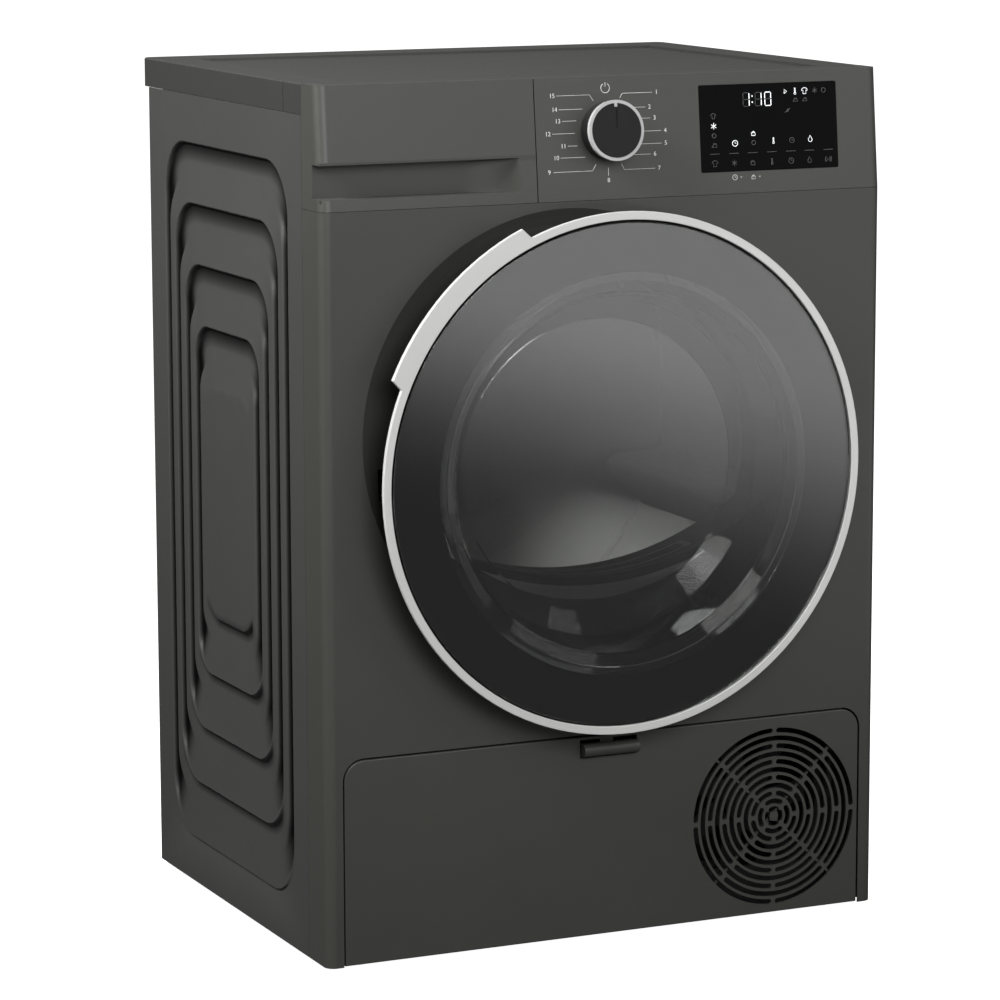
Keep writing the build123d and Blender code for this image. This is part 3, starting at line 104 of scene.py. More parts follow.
class ShaderTree:
    """One material's node tree, with short calls to add and link nodes."""

    def __init__(self, name: str) -> None:
        """Start a material that holds one Principled shader.

        Args:
            name: The material's name.
        """
        self.material = bpy.data.materials.new(name)
        self.material.use_nodes = True
        self.tree = self.material.node_tree
        self.surface = self.tree.nodes["Principled BSDF"]
        self.place = self.tree.nodes.new("ShaderNodeTexCoord").outputs["Object"]

    def node(self, kind: str, **settings) -> bpy.types.Node:
        """Add a node to this tree and set its properties."""
        return put(self.tree, kind, **settings)

    def link(self, source: bpy.types.NodeSocket, target: bpy.types.NodeSocket) -> None:
        """Join an output to an input."""
        self.tree.links.new(source, target)

    def use(self, group: bpy.types.NodeTree, **inputs) -> bpy.types.Node:
        """Place a shader node group and fill its inputs.

        Args:
            group: The shared group.
            **inputs: Input names and either values or sockets to link.

        Returns:
            The group's node.
        """
        placed = self.node("ShaderNodeGroup", node_tree=group)
        for key, value in inputs.items():
            socket = placed.inputs[key]
            if isinstance(value, bpy.types.NodeSocket):
                self.link(value, socket)
            else:
                socket.default_value = value
        return placed

    def marked(self, colour: Colour, rough: Point, variation: float) -> bpy.types.NodeSocket:
        """Lay handling marks on a colour and let them drive the shader's roughness.

        Args:
            colour: The plain colour.
            rough: Lowest and highest roughness.
            variation: Share by which the colour varies.

        Returns:
            The marked colour.
        """
        marks = self.use(
            GROUPS.handling, Position=self.place, Colour=(*colour, 1.0), Variation=variation,
            Low=rough[0], High=rough[1],
        )
        self.link(marks.outputs["Roughness"], self.surface.inputs["Roughness"])
        return marks.outputs["Colour"]

    def set(self, **values) -> None:
        """Set constant values on the shader's own sockets.

        Args:
            **values: Socket names with underscores for spaces.
        """
        for key, value in values.items():
            self.surface.inputs[key.replace("_", " ")].default_value = value

    def bump(self, height: bpy.types.NodeSocket, depth: float) -> None:
        """Feed a height into the shader's normal.

        Args:
            height: Socket with values between 0 and 1.
            depth: Height of the relief in metres.
        """
        made = put(self.tree, "ShaderNodeBump", {"Strength": 1.0, "Distance": depth})
        self.link(height, made.inputs["Height"])
        self.link(made.outputs["Normal"], self.surface.inputs["Normal"])


class SharedGroups:
    """Shader node groups that several finishes use."""

    def __init__(self) -> None:
        """Build every group once."""
        self.grain = self._grain()
        self.handling = self._handling()
        self.dust = self._dust()
        self.brushing = self._brushing()

    @staticmethod
    def _start(name: str, inputs: dict[str, tuple], outputs: dict[str, str]) -> tuple:
        """Make an empty group with named sockets.

        Args:
            name: The group's name.
            inputs: Socket names with their type and default.
            outputs: Socket names with their type.

        Returns:
            The tree, its input node and its output node.
        """
        tree = bpy.data.node_groups.new(name, "ShaderNodeTree")
        for key, (kind, value) in inputs.items():
            socket = tree.interface.new_socket(key, in_out="INPUT", socket_type=kind)
            if value is not None:
                socket.default_value = value
        for key, kind in outputs.items():
            tree.interface.new_socket(key, in_out="OUTPUT", socket_type=kind)
        return tree, tree.nodes.new("NodeGroupInput"), tree.nodes.new("NodeGroupOutput")

    def _grain(self) -> bpy.types.NodeTree:
        """Fine moulded or sprayed grain: returns a height."""
        tree, given, result = self._start(
            "surface_grain",
            {"Position": (VECTOR, None), "Scale": (FLOAT, 900.0), "Pebble": (FLOAT, 0.5)},
            {"Height": FLOAT},
        )
        noise = put(tree, "ShaderNodeTexNoise", {"Detail": 4.0})
        cells = put(tree, "ShaderNodeTexVoronoi")
        mix = put(tree, "ShaderNodeMix")
        for texture in (noise, cells):
            wire(tree, (given, "Position", texture, "Vector"), (given, "Scale", texture, "Scale"))
        wire(
            tree,
            (given, "Pebble", mix, "Factor"),
            (noise, "Fac", mix, "A"),
            (cells, "Distance", mix, "B"),
            (mix, "Result", result, "Height"),
        )
        return tree

    def _handling(self) -> bpy.types.NodeTree:
        """Broad cloudy change with fine smears, as from wiping: returns a colour and a roughness."""
        tree, given, result = self._start(
            "handling_marks",
            {
                "Position": (VECTOR, None),
                "Colour": (COLOUR, (0.5, 0.5, 0.5, 1.0)),
                "Variation": (FLOAT, 0.06),
                "Low": (FLOAT, 0.35),
                "High": (FLOAT, 0.45),
            },
            {"Colour": COLOUR, "Roughness": FLOAT},
        )
        broad = put(tree, "ShaderNodeTexNoise", {"Scale": 7.0, "Detail": 5.0})
        smear = put(tree, "ShaderNodeTexNoise", {"Scale": 60.0, "Distortion": 1.2})
        level = put(tree, "ShaderNodeMapRange", {"From Min": 0.3, "From Max": 0.7})
        rough = put(tree, "ShaderNodeMapRange")
        spread = put(tree, "ShaderNodeMath", {1: 0.5}, operation="SUBTRACT")
        part = put(tree, "ShaderNodeMath", operation="MULTIPLY")
        above = put(tree, "ShaderNodeMath", {1: 1.0}, operation="ADD")
        tint = put(tree, "ShaderNodeVectorMath", operation="SCALE")
        wire(
            tree,
            (given, "Position", broad, "Vector"),
            (given, "Position", smear, "Vector"),
            (broad, "Fac", level, "Value"),
            (level, "Result", spread, 0),
            (spread, 0, part, 0),
            (given, "Variation", part, 1),
            (part, 0, above, 0),
            (given, "Colour", tint, 0),
            (above, 0, tint, "Scale"),
            (tint, "Vector", result, "Colour"),
            (smear, "Fac", rough, "Value"),
            (given, "Low", rough, "To Min"),
            (given, "High", rough, "To Max"),
            (rough, "Result", result, "Roughness"),
        )
        return tree

    def _dust(self) -> bpy.types.NodeTree:
        """Fine dust that settles on faces that look up: returns a colour."""
        tree, given, result = self._start(
            "settled_dust",
            {"Position": (VECTOR, None), "Colour": (COLOUR, (0.5, 0.5, 0.5, 1.0)), "Amount": (FLOAT, 0.1)},
            {"Colour": COLOUR},
        )
        shape = put(tree, "ShaderNodeNewGeometry")
        parts = put(tree, "ShaderNodeSeparateXYZ")
        up = put(tree, "ShaderNodeMapRange", {"From Min": 0.4, "From Max": 1.0})
        specks = put(tree, "ShaderNodeTexNoise", {"Scale": 240.0, "Detail": 6.0})
        both = put(tree, "ShaderNodeMath", operation="MULTIPLY")
        share = put(tree, "ShaderNodeMath", operation="MULTIPLY")
        mix = put(tree, "ShaderNodeMix", {"B": (0.42, 0.41, 0.39, 1.0)}, data_type="RGBA")
        wire(
            tree,
            (given, "Position", specks, "Vector"),
            (shape, "Normal", parts, "Vector"),
            (parts, "Z", up, "Value"),
            (up, "Result", both, 0),
            (specks, "Fac", both, 1),
            (both, 0, share, 0),
            (given, "Amount", share, 1),
            (share, 0, mix, "Factor"),
            (given, "Colour", mix, "A"),
            (mix, "Result", result, "Colour"),
        )
        return tree

    def _brushing(self) -> bpy.types.NodeTree:
        """Fine parallel lines left by brushing or turning: returns a height."""
        tree, given, result = self._start(
            "brushed_lines", {"Position": (VECTOR, None), "Stretch": (VECTOR, (1.0, 1.0, 1.0))}, {"Height": FLOAT}
        )
        stretch = put(tree, "ShaderNodeVectorMath", operation="MULTIPLY")
        noise = put(tree, "ShaderNodeTexNoise", {"Scale": 1.0, "Detail": 3.0})
        wire(
            tree,
            (given, "Position", stretch, 0),
            (given, "Stretch", stretch, 1),
            (stretch, 0, noise, "Vector"),
            (noise, "Fac", result, "Height"),
        )
        return tree


GROUPS = SharedGroups()


# ---------------------------------------------------------------- finishes
@dataclass(frozen=True)
class Coating:
    """Painted steel or moulded plastic: a coloured, slightly uneven skin with grain and a little dust."""

    name: str
    colour: Colour
    rough: Point = (0.36, 0.46)
    grain: float = 1100.0
    depth: float = 0.00004
    pebble: float = 0.4
    specular: float = 0.5
    metallic: float = 0.0
    coat: float = 0.0
    dust: float = 0.05
    variation: float = 0.06
    # When pressed is set, the mesh's "groove" attribute paints shade into the colour and metallic value.
    pressed: bool = False

    def make(self) -> bpy.types.Material:
        """Build the material.

        Returns:
            The finished material.
        """
        shader = ShaderTree(self.name)
        colour = shader.marked(self.colour, self.rough, self.variation)
        dusty = shader.use(GROUPS.dust, Position=shader.place, Colour=colour, Amount=self.dust)
        shader.link(self._shaded(shader, dusty.outputs["Colour"]), shader.surface.inputs["Base Color"])
        grain = shader.use(GROUPS.grain, Position=shader.place, Scale=self.grain, Pebble=self.pebble)
        shader.bump(grain.outputs["Height"], self.depth)
        shader.set(Metallic=self.metallic, Specular_IOR_Level=self.specular, Coat_Weight=self.coat, Coat_Roughness=0.12)
        return shader.material

    def _shaded(self, shader: ShaderTree, colour: bpy.types.NodeSocket) -> bpy.types.NodeSocket:
        """Paint shade into the floor of pressed grooves and below their steps: darken the colour and raise the metallic
        value by the mesh's "groove" attribute.

        Args:
            shader: The material's tree.
            colour: The coating's colour.

        Returns:
            The colour to use.
        """
        if not self.pressed:
            return colour
        # The "groove" attribute holds how much painted shade each point gets.
        groove = shader.node("ShaderNodeAttribute", attribute_name="groove")
        painted_shade_mix = shader.node("ShaderNodeMix", data_type="RGBA")
        # Near-black colour of the painted shade.
        painted_shade_mix.inputs["B"].default_value = (0.004, 0.004, 0.0038, 1.0)
        shader.link(groove.outputs["Fac"], painted_shade_mix.inputs["Factor"])
        shader.link(colour, painted_shade_mix.inputs["A"])
        # The painted shade also raises the metallic value there.
        shader.link(groove.outputs["Fac"], shader.surface.inputs["Metallic"])
        return painted_shade_mix.outputs["Result"]


@dataclass(frozen=True)
class Metal:
    """Bare or plated metal with brushed lines."""

    name: str
    colour: Colour
    rough: Point = (0.26, 0.36)
    stretch: Colour = (900.0, 60.0, 900.0)
    depth: float = 0.00002
    variation: float = 0.08

    def make(self) -> bpy.types.Material:
        """Build the material.

        Returns:
            The finished material.
        """
        shader = ShaderTree(self.name)
        shader.link(shader.marked(self.colour, self.rough, self.variation), shader.surface.inputs["Base Color"])
        lines = shader.use(GROUPS.brushing, Position=shader.place, Stretch=self.stretch)
        shader.bump(lines.outputs["Height"], self.depth)
        shader.set(Metallic=1.0)
        return shader.material


@dataclass(frozen=True)
class Glass:
    """Clear or tinted glass."""

    name: str
    colour: Colour
    rough: float = 0.02
    ior: float = 1.5

    def make(self) -> bpy.types.Material:
        """Build the material.

        Returns:
            The finished material.
        """
        shader = ShaderTree(self.name)
        rough = (self.rough * 0.7, self.rough * 1.3)
        shader.link(shader.marked(self.colour, rough, 0.03), shader.surface.inputs["Base Color"])
        shader.set(Transmission_Weight=1.0, IOR=self.ior, Specular_IOR_Level=0.5)
        return shader.material


@dataclass(frozen=True)
class Glow:
    """Printed or lit marks."""

    name: str
    colour: Colour
    strength: float = 0.0

    def make(self) -> bpy.types.Material:
        """Build the material.

        Returns:
            The finished material.
        """
        shader = ShaderTree(self.name)
        grain = shader.use(GROUPS.grain, Position=shader.place, Scale=4000.0, Pebble=0.2)
        colour = shader.marked(self.colour, (0.4, 0.55), 0.1)
        shader.link(colour, shader.surface.inputs["Base Color"])
        shader.bump(grain.outputs["Height"], 0.00001)
        if self.strength > 0.0:
            shader.link(colour, shader.surface.inputs["Emission Color"])
            shader.set(Emission_Strength=self.strength)
        return shader.material


GRAPHITE = (0.0405, 0.0415, 0.0365)
BLACK = (0.009, 0.009, 0.009)


class Finish(Enum):
    """Every finish on the dryer, under the name of its material slot."""

    # pressed=True gives the side paint painted shade in its grooves and below its steps.
    SIDE_SHEET = Coating(
        "graphite_side_paint_and_painted_shade", (0.040, 0.040, 0.039), rough=(0.40, 0.50), grain=700.0, depth=0.00003, pressed=True,
    )
    FRONT_SHEET = Coating("graphite_front_paint", GRAPHITE, rough=(0.36, 0.46), grain=700.0, depth=0.00003)
    CONTROL_PLASTIC = Coating("graphite_fascia", GRAPHITE, rough=(0.38, 0.48), grain=1500.0)
    WORKTOP_PLASTIC = Coating("graphite_worktop_frame", (0.026, 0.0265, 0.0245), rough=(0.42, 0.52), grain=1500.0)
    WORKTOP_SHEET = Coating(
        "graphite_worktop_board", (0.024, 0.0245, 0.0235), rough=(0.45, 0.55), grain=500.0, depth=0.00006,
        pebble=0.7,
    )
    GLOSS_WINDOW = Coating(
        "gloss_black_window", (0.004, 0.004, 0.004), rough=(0.05, 0.09), depth=0.000001, specular=0.12, dust=0.0,
    )
    CIRCUIT_BOARD = Coating(
        "green_circuit_board", (0.012, 0.07, 0.03), rough=(0.25, 0.5), grain=300.0, depth=0.0001, variation=0.5,
    )
    KNOB_PLASTIC = Coating(
        "black_knob_plastic", (0.008, 0.008, 0.008), rough=(0.32, 0.40), grain=2500.0, depth=0.00002,
        specular=0.25,
    )
    BRIGHT_RING = Coating(
        "bright_knob_ring", (0.66, 0.66, 0.66), rough=(0.12, 0.2), grain=2500.0, depth=0.000005, metallic=0.45,
        dust=0.0,
    )
    SATIN_RING = Coating(
        "satin_silver_ring", (0.60, 0.60, 0.59), rough=(0.28, 0.36), grain=2500.0, depth=0.00001, metallic=0.25,
        dust=0.0,
    )
    SMOKED_GLASS = Glass("smoked_door_glass", (0.50, 0.50, 0.50), ior=1.6)
    CLEAR_BOWL = Glass("clear_door_bowl", (0.96, 0.97, 0.97))
    DOOR_BORDER = Coating(
        "smooth_black_door_border", (0.012, 0.012, 0.012), rough=(0.5, 0.6), grain=1800.0, depth=0.000001,
        specular=0.05, dust=0.0,
    )
    DARK_PLASTIC = Coating("black_moulded_plastic", BLACK, rough=(0.35, 0.5), grain=1800.0, depth=0.00001, specular=0.3)
    FILTER_PLASTIC = Coating("grey_filter_plastic", (0.10, 0.10, 0.10), rough=(0.4, 0.5), grain=1800.0)
    LEVER_PLASTIC = Coating("blue_lever_plastic", (0.02, 0.09, 0.25), rough=(0.35, 0.45), grain=1800.0)
    COOLING_PLASTIC = Coating(
        "black_fan_plastic", (0.007, 0.007, 0.007), rough=(0.45, 0.6), grain=1500.0, depth=0.00001, specular=0.2,
        dust=0.1,
    )
    FAN_PLASTIC = Coating("pale_fan_plastic", (0.45, 0.45, 0.43), rough=(0.4, 0.55), grain=1500.0, dust=0.4)
    TANK_PLASTIC = Coating("translucent_tank_plastic", (0.55, 0.57, 0.58), rough=(0.3, 0.4), grain=1500.0)
    DRUM_STEEL = Metal(
        "stainless_drum_steel", (0.50, 0.50, 0.49), rough=(0.30, 0.31), stretch=(12.0, 900.0, 12.0),
        depth=0.000001, variation=0.02,
    )
    LIFTER_PLASTIC = Coating("grey_lifter_plastic", (0.16, 0.16, 0.16), rough=(0.35, 0.45), grain=1500.0)
    SHAFT_STEEL = Metal("turned_shaft_steel", (0.52, 0.52, 0.51), rough=(0.2, 0.3))
    GALVANISED = Metal("galvanised_steel", (0.50, 0.51, 0.52), rough=(0.32, 0.55), variation=0.35)
    BLACK_RUBBER = Coating(
        "black_rubber", (0.012, 0.012, 0.012), rough=(0.6, 0.75), grain=900.0, depth=0.0001, specular=0.3,
    )
    FELT = Coating(
        "white_felt", (0.42, 0.41, 0.38), rough=(0.9, 1.0), grain=600.0, depth=0.0008, pebble=0.1, specular=0.1,
    )
    MOTOR_STEEL = Metal(
        "laminated_motor_steel", (0.35, 0.35, 0.36), rough=(0.35, 0.5), stretch=(20.0, 1600.0, 20.0), depth=0.0002,
    )
    COMPRESSOR_PAINT = Coating(
        "black_compressor_paint", (0.012, 0.012, 0.013), rough=(0.25, 0.4), grain=400.0, depth=0.00008, dust=0.3,
    )
    FIN_ALUMINIUM = Metal("finned_aluminium", (0.72, 0.72, 0.73), rough=(0.28, 0.4))
    PRINT_INK = Glow("pale_print_ink", (0.62, 0.62, 0.60))
    LIT_WHITE = Glow("lit_display_white", (0.85, 0.88, 0.90), strength=0.75)
    LIT_DIM = Glow("dim_display_grey", (0.07, 0.07, 0.075), strength=0.15)
    LINT_MESH = Metal("woven_lint_mesh", (0.42, 0.42, 0.42), rough=(0.3, 0.45))


class Finishes:
    """Materials made from the finishes, each one once."""

    def __init__(self) -> None:
        """Start with none made."""
        self.made: dict[Finish, bpy.types.Material] = {}

    def get(self, finish: Finish) -> bpy.types.Material:
        """Give a finish's material.

        Args:
            finish: The finish.

        Returns:
            Its material, made on the first call.
        """
        if finish not in self.made:
            self.made[finish] = finish.value.make()
        return self.made[finish]


FINISHES = Finishes()


# ---------------------------------------------------------------- pieces
def dress(obj: bpy.types.Object, finish: Finish) -> None:
    """Give an object one finish in all its slots.

    Args:
        obj: A mesh object.
        finish: The finish.
    """
    material = FINISHES.get(finish)
    if not obj.material_slots:
        obj.data.materials.append(material)
    for slot in obj.material_slots:
        slot.material = material


def place(
    name: str, mesh: bpy.types.Mesh, finish: Finish, body: str, stands_for: tuple[str, ...] = ()
) -> bpy.types.Object:
    """Show a finished mesh as a piece that rides on a body.

    Args:
        name: The piece's name.
        mesh: Its mesh, already in place.
        finish: Its finish.
        body: The body it rides on.
        stands_for: The parts that it stands for.

    Returns:
        The new object.
    """
    obj = show(name, mesh)
    dress(obj, finish)
    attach(obj, body)
    if stands_for:
        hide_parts(*stands_for)
    log.info("%s rides on %s, %d faces", name, body, len(mesh.polygons))
    return obj


def shade(mesh: bpy.types.Mesh, angle: float = 35.0) -> bpy.types.Mesh:
    """Shade smooth with edges sharper than an angle kept sharp.

    Args:
        mesh: The mesh.
        angle: The sharpest smooth angle in degrees.

    Returns:
        The same mesh.
    """
    mesh.shade_smooth()
    mesh.set_sharp_from_angle(angle=math.radians(angle))
    return mesh


# ---------------------------------------------------------------- side panels
class Side(Enum):
    """The two sides of the cabinet."""

    LEFT = -1
    RIGHT = 1


@dataclass
class EmbossedSide:
    """Pressed side sheet: five nested frames whose bands slope like weatherboards, with grooves at the sides."""

    side: Side
    thickness: float = 1.2 * MM
    centre: Point = (0.0305, 0.414)
    size: Point = (0.338, 0.718)
    step: Point = (0.053, 0.121)
    levels: int = 5
    radius: Point = (0.056, 0.030)
    depth: float = 5.0 * MM
    border_grow: tuple[float, ...] = (8.0, 3.2, 2.4, 1.2, 0.5)
    border_pressed: Point = (3.2, 2.4)
    floor_shrink: Point = (6.0, 16.0)
    corner_steps: int = 14
    straight_steps: int = 8
    across: tuple[float, ...] = (
        0.0, 0.012, 0.025, 0.04, 0.055, 0.075, 0.11, 0.2, 0.33, 0.42, 0.46, 0.5, 0.54, 0.58, 0.64,
        0.8, 0.9, 0.935, 0.955, 0.97, 0.983, 1.0,
    )

    def build(self) -> bpy.types.Object:
        """Make the sheet and put it in place of the plain one.

        Returns:
            The new piece.
        """
        node = f"side_panel_{self.side.name.lower()}"
        low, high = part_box(node)
        outer = high.x if self.side is Side.RIGHT else -low.x
        rings = self._rings(low, high)
        shape = bmesh.new()
        face_sign = self.side.value
        skins = []
        # The "groove" attribute carries painted shade that darkens the paint in the grooves and below the steps.
        painted_shade_layer = shape.verts.layers.float.new("groove")
        for inset in (0.0, self.thickness):
            skin = []
            for ring in rings:
                row = [shape.verts.new((face_sign * (outer - point[2] - inset), point[0], point[1])) for point in ring]
                for vert, point in zip(row, ring):
                    vert[painted_shade_layer] = point[3] if inset == 0.0 else 0.0
                skin.append(row)
            skins.append(skin)
        for skin in skins:
            for one, two in zip(skin, skin[1:]):
                self._band(shape, one, two)
            shape.faces.new(skin[-1])
        self._band(shape, skins[0][0], skins[1][0])
        bmesh.ops.recalc_face_normals(shape, faces=shape.faces)
        mesh = bpy.data.meshes.new(f"embossed_side_{self.side.name.lower()}")
        shape.to_mesh(mesh)
        shape.free()
        return place(mesh.name, shade(mesh, 50.0), Finish.SIDE_SHEET, "cabinet", (node,))

    @staticmethod
    def _band(shape: bmesh.types.BMesh, one: list, two: list) -> None:
        """Close the strip between two rings of the same count."""
        count = len(one)
        for i in range(count):
            shape.faces.new((one[i], one[(i + 1) % count], two[(i + 1) % count], two[i]))

    def _outline(self, size: Point, radius: float, centre: Point) -> list[tuple[float, float, float]]:
        """Points of a rounded rectangle with the angle each one faces.

        Args:
            size: Width and height.
            radius: Corner radius.
            centre: Middle of the rectangle.

        Returns:
            Points as depth, height and facing angle.
        """
        points = []
        half_w, half_h = size[0] / 2 - radius, size[1] / 2 - radius
        corners = ((half_w, half_h, 0.0), (-half_w, half_h, 90.0), (-half_w, -half_h, 180.0), (half_w, -half_h, 270.0))
        for index, (u, v, start) in enumerate(corners):
            for k in range(self.corner_steps + 1):
                angle = math.radians(start + 90.0 * k / self.corner_steps)
                points.append((u + radius * math.cos(angle), v + radius * math.sin(angle), angle))
            after = corners[(index + 1) % 4]
            turn = math.radians(start + 90.0)
            one = (u + radius * math.cos(turn), v + radius * math.sin(turn))
            two = (after[0] + radius * math.cos(turn), after[1] + radius * math.sin(turn))
            for k in range(1, self.straight_steps):
                t = k / self.straight_steps
                points.append((one[0] + (two[0] - one[0]) * t, one[1] + (two[1] - one[1]) * t, turn))
        return [(centre[0] + u, centre[1] + v, angle) for u, v, angle in points]

    def _rings(self, low: Vector, high: Vector) -> list[list[tuple[float, float, float, float]]]:
        """Every ring of the sheet from its rim inwards.

        Args:
            low: Lowest corner of the plain sheet.
            high: Highest corner of the plain sheet.

        Returns:
            Rings of points as depth, height, sink below the sheet's face and painted shade.
        """
        middle = ((low.y + high.y) / 2, (low.z + high.z) / 2)
        rim = self._outline((high.y - low.y, high.z - low.z), 0.0004, middle)
        rings = [[(y, z, 0.0, 0.0) for y, z, _ in rim]]
        for grow in self.border_grow:
            size = (self.size[0] + 2 * grow * MM, self.size[1] + 2 * grow * MM)
            border = self._outline(size, self.radius[0] + grow * MM, self.centre)
            rings.append([(y, z, self._border_sink(grow, angle), 0.0) for y, z, angle in border])
        for level in range(self.levels - 1):
            for share in self.across[0 if level == 0 else 1:]:
                t = level + share
                size = (self.size[0] - self.step[0] * t, self.size[1] - self.step[1] * t)
                radius = self.radius[0] + (self.radius[1] - self.radius[0]) * t / (self.levels - 1)
                ring = self._outline(size, radius, self.centre)
                rings.append([(y, z, self._sink(share, angle), self._shade(share, angle)) for y, z, angle in ring])
        size = (self.size[0] - self.step[0] * (self.levels - 1), self.size[1] - self.step[1] * (self.levels - 1))
        for shrink in self.floor_shrink:
            floor = (size[0] - 2 * shrink * MM, size[1] - 2 * shrink * MM)
            ring = self._outline(floor, self.radius[1] - shrink * MM * 0.9, self.centre)
            rings.append([(y, z, 0.0, 0.0) for y, z, _ in ring])
        return rings

    def _border_sink(self, grow: float, angle: float) -> float:
        """Shallow line pressed just outside the lowest lip."""
        below = max(0.0, -math.sin(angle))
        return 0.45 * self.depth * below**2 if grow in self.border_pressed else 0.0

    def _sink(self, share: float, angle: float) -> float:
        """How far a band lies below the sheet's face.

        Args:
            share: Way across the band, from its outer outline at 0 to its inner one at 1.
            angle: Direction the outline faces there.

        Returns:
            The sink in metres.
        """
        up, down = self._facing(angle)
        level = 1.0 - up - down
        board_top = self._ease(share / 0.055) * (1.0 - share) ** 0.9
        board_bottom = self._ease((1.0 - share) / 0.055) * share**0.9
        groove = self._ease(share / 0.11) * (1.0 - self._ease((share - 0.42) / 0.16))
        return self.depth * (up * board_top + down * board_bottom + level * groove)

    def _shade(self, share: float, angle: float) -> float:
        """How much painted shade a point of a band gets, from 0 to 1: darkest on the floors of the side grooves and
        just below the steps of the upper and lower bands.

        Args:
            share: Way across the band.
            angle: Direction the outline faces there.

        Returns:
            The share of the painted dark tone.
        """
        up, down = self._facing(angle)
        groove = self._ease((share - 0.02) / 0.07) * (1.0 - self._ease((share - 0.46) / 0.1))
        painted_shade_under_lip = self._ease((share - 0.01) / 0.04) * (1.0 - self._ease((share - 0.06) / 0.3))
        painted_shade_over_lip = self._ease((share - 0.80) / 0.15) * (1.0 - self._ease((share - 0.96) / 0.03))
        # Painted shade: side grooves darkest, then below the steps of the upper bands, then below those of the lower
        # bands.
        return 0.92 * (1.0 - up - down) * groove + 0.75 * up * painted_shade_under_lip + 0.55 * down * painted_shade_over_lip

    def _facing(self, angle: float) -> Point:
        """How far an outline faces up, and how far down, each from 0 to 1."""
        return self._ease((math.sin(angle) - 0.25) / 0.65), self._ease((-math.sin(angle) - 0.25) / 0.65)

    @staticmethod
    def _ease(t: float) -> float:
        """Smooth step from 0 to 1."""
        t = min(1.0, max(0.0, t))
        return t * t * (3.0 - 2.0 * t)


# ---------------------------------------------------------------- control face
@dataclass(frozen=True)
class FacePlane:
    """The leaning control face: u runs to the viewer's right, v up the face, w out of it."""

    origin: Vector
    up: Vector

    @classmethod
    def from_fascia(cls) -> "FacePlane":
        """Read the face from the fascia's lowest and highest front edges.

        Returns:
            The plane.
        """
        low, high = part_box("control_fascia")
        crest = min(v.co.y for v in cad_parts["control_fascia"].data.vertices if v.co.z > high.z - MM)
        up = Vector((0.0, crest - low.y, high.z - low.z)).normalized()
        return cls(Vector((0.0, low.y, low.z)), up)

    def matrix(self, lift: float = 0.0) -> Matrix:
        """Place a flat drawing on the face.

        Args:
            lift: Distance out of the face.

        Returns:
            The transform from the drawing to the dryer's frame.
        """
        right = Vector((1.0, 0.0, 0.0))
        out = right.cross(self.up)
        turn = Matrix((right, self.up, out)).transposed().to_4x4()
        return Matrix.Translation(self.origin + out * lift) @ turn

    def height(self, z: float) -> float:
        """Distance up the face for a height above the floor."""
        return (z - self.origin.z) / self.up.z


class LineTree:
    """Geometry Nodes tree that turns drawn edges into flat printed lines."""

    def __init__(self) -> None:
        """Build the tree once."""
        self.tree = tree = bpy.data.node_groups.new("printed_lines", "GeometryNodeTree")
        face = tree.interface
        face.new_socket("Geometry", in_out="INPUT", socket_type="NodeSocketGeometry")
        for key, value in (("Line Width", 0.4 * MM), ("Ink Height", 0.1 * MM)):
            face.new_socket(key, in_out="INPUT", socket_type=FLOAT).default_value = value
        face.new_socket("Ink", in_out="INPUT", socket_type="NodeSocketMaterial")
        face.new_socket("Geometry", in_out="OUTPUT", socket_type="NodeSocketGeometry")
        given, result = put(tree, "NodeGroupInput"), put(tree, "NodeGroupOutput")
        to_curve = put(tree, "GeometryNodeMeshToCurve")
        sweep = put(tree, "GeometryNodeCurveToMesh", {"Fill Caps": True})
        profile = put(tree, "GeometryNodeCurvePrimitiveCircle", {"Resolution": 6})
        half = put(tree, "ShaderNodeMath", {1: 0.5}, operation="MULTIPLY")
        ratio = put(tree, "ShaderNodeMath", operation="DIVIDE")
        size = put(tree, "ShaderNodeCombineXYZ", {"X": 1.0, "Y": 1.0})
        flatten = put(tree, "GeometryNodeTransform")
        realize = put(tree, "GeometryNodeRealizeInstances")
        ink = put(tree, "GeometryNodeSetMaterial")
        wire(
            tree,
            (given, "Geometry", to_curve, "Mesh"),
            (given, "Line Width", half, 0),
            (half, 0, profile, "Radius"),
            (given, "Ink Height", ratio, 0),
            (half, 0, ratio, 1),
            (ratio, 0, size, "Z"),
            (to_curve, "Curve", sweep, "Curve"),
            (profile, "Curve", sweep, "Profile Curve"),
            (sweep, "Mesh", flatten, "Geometry"),
            (size, "Vector", flatten, "Scale"),
            (flatten, "Geometry", realize, "Geometry"),
            (realize, "Geometry", ink, "Geometry"),
            (given, "Ink", ink, "Material"),
            (ink, "Geometry", result, "Geometry"),
        )

    def draw(self, name: str, lines: list[Line], width: float, finish: Finish) -> bpy.types.Mesh:
        """Make a mesh of printed lines, still flat.

        Args:
            name: The mesh's name.
            lines: Runs of points in metres.
            width: Width of each line in metres.
            finish: Its ink.

        Returns:
            The plain mesh.
        """
        drawing = bpy.data.meshes.new(name)
        points = [(u, v, 0.0) for line in lines for u, v in line]
        edges, start = [], 0
        for line in lines:
            edges += [(start + i, start + i + 1) for i in range(len(line) - 1)]
            start += len(line)
        drawing.from_pydata(points, edges, [])
        obj = show(name, drawing)
        modifier = obj.modifiers.new("print", "NODES")
        modifier.node_group = self.tree
        sockets = {item.name: item.identifier for item in self.tree.interface.items_tree if item.in_out == "INPUT"}
        modifier[sockets["Line Width"]] = width
        modifier[sockets["Ink"]] = FINISHES.get(finish)
        bpy.context.view_layer.update()
        graph = bpy.context.evaluated_depsgraph_get()
        mesh = bpy.data.meshes.new_from_object(obj.evaluated_get(graph))
        bpy.data.objects.remove(obj)
        return mesh


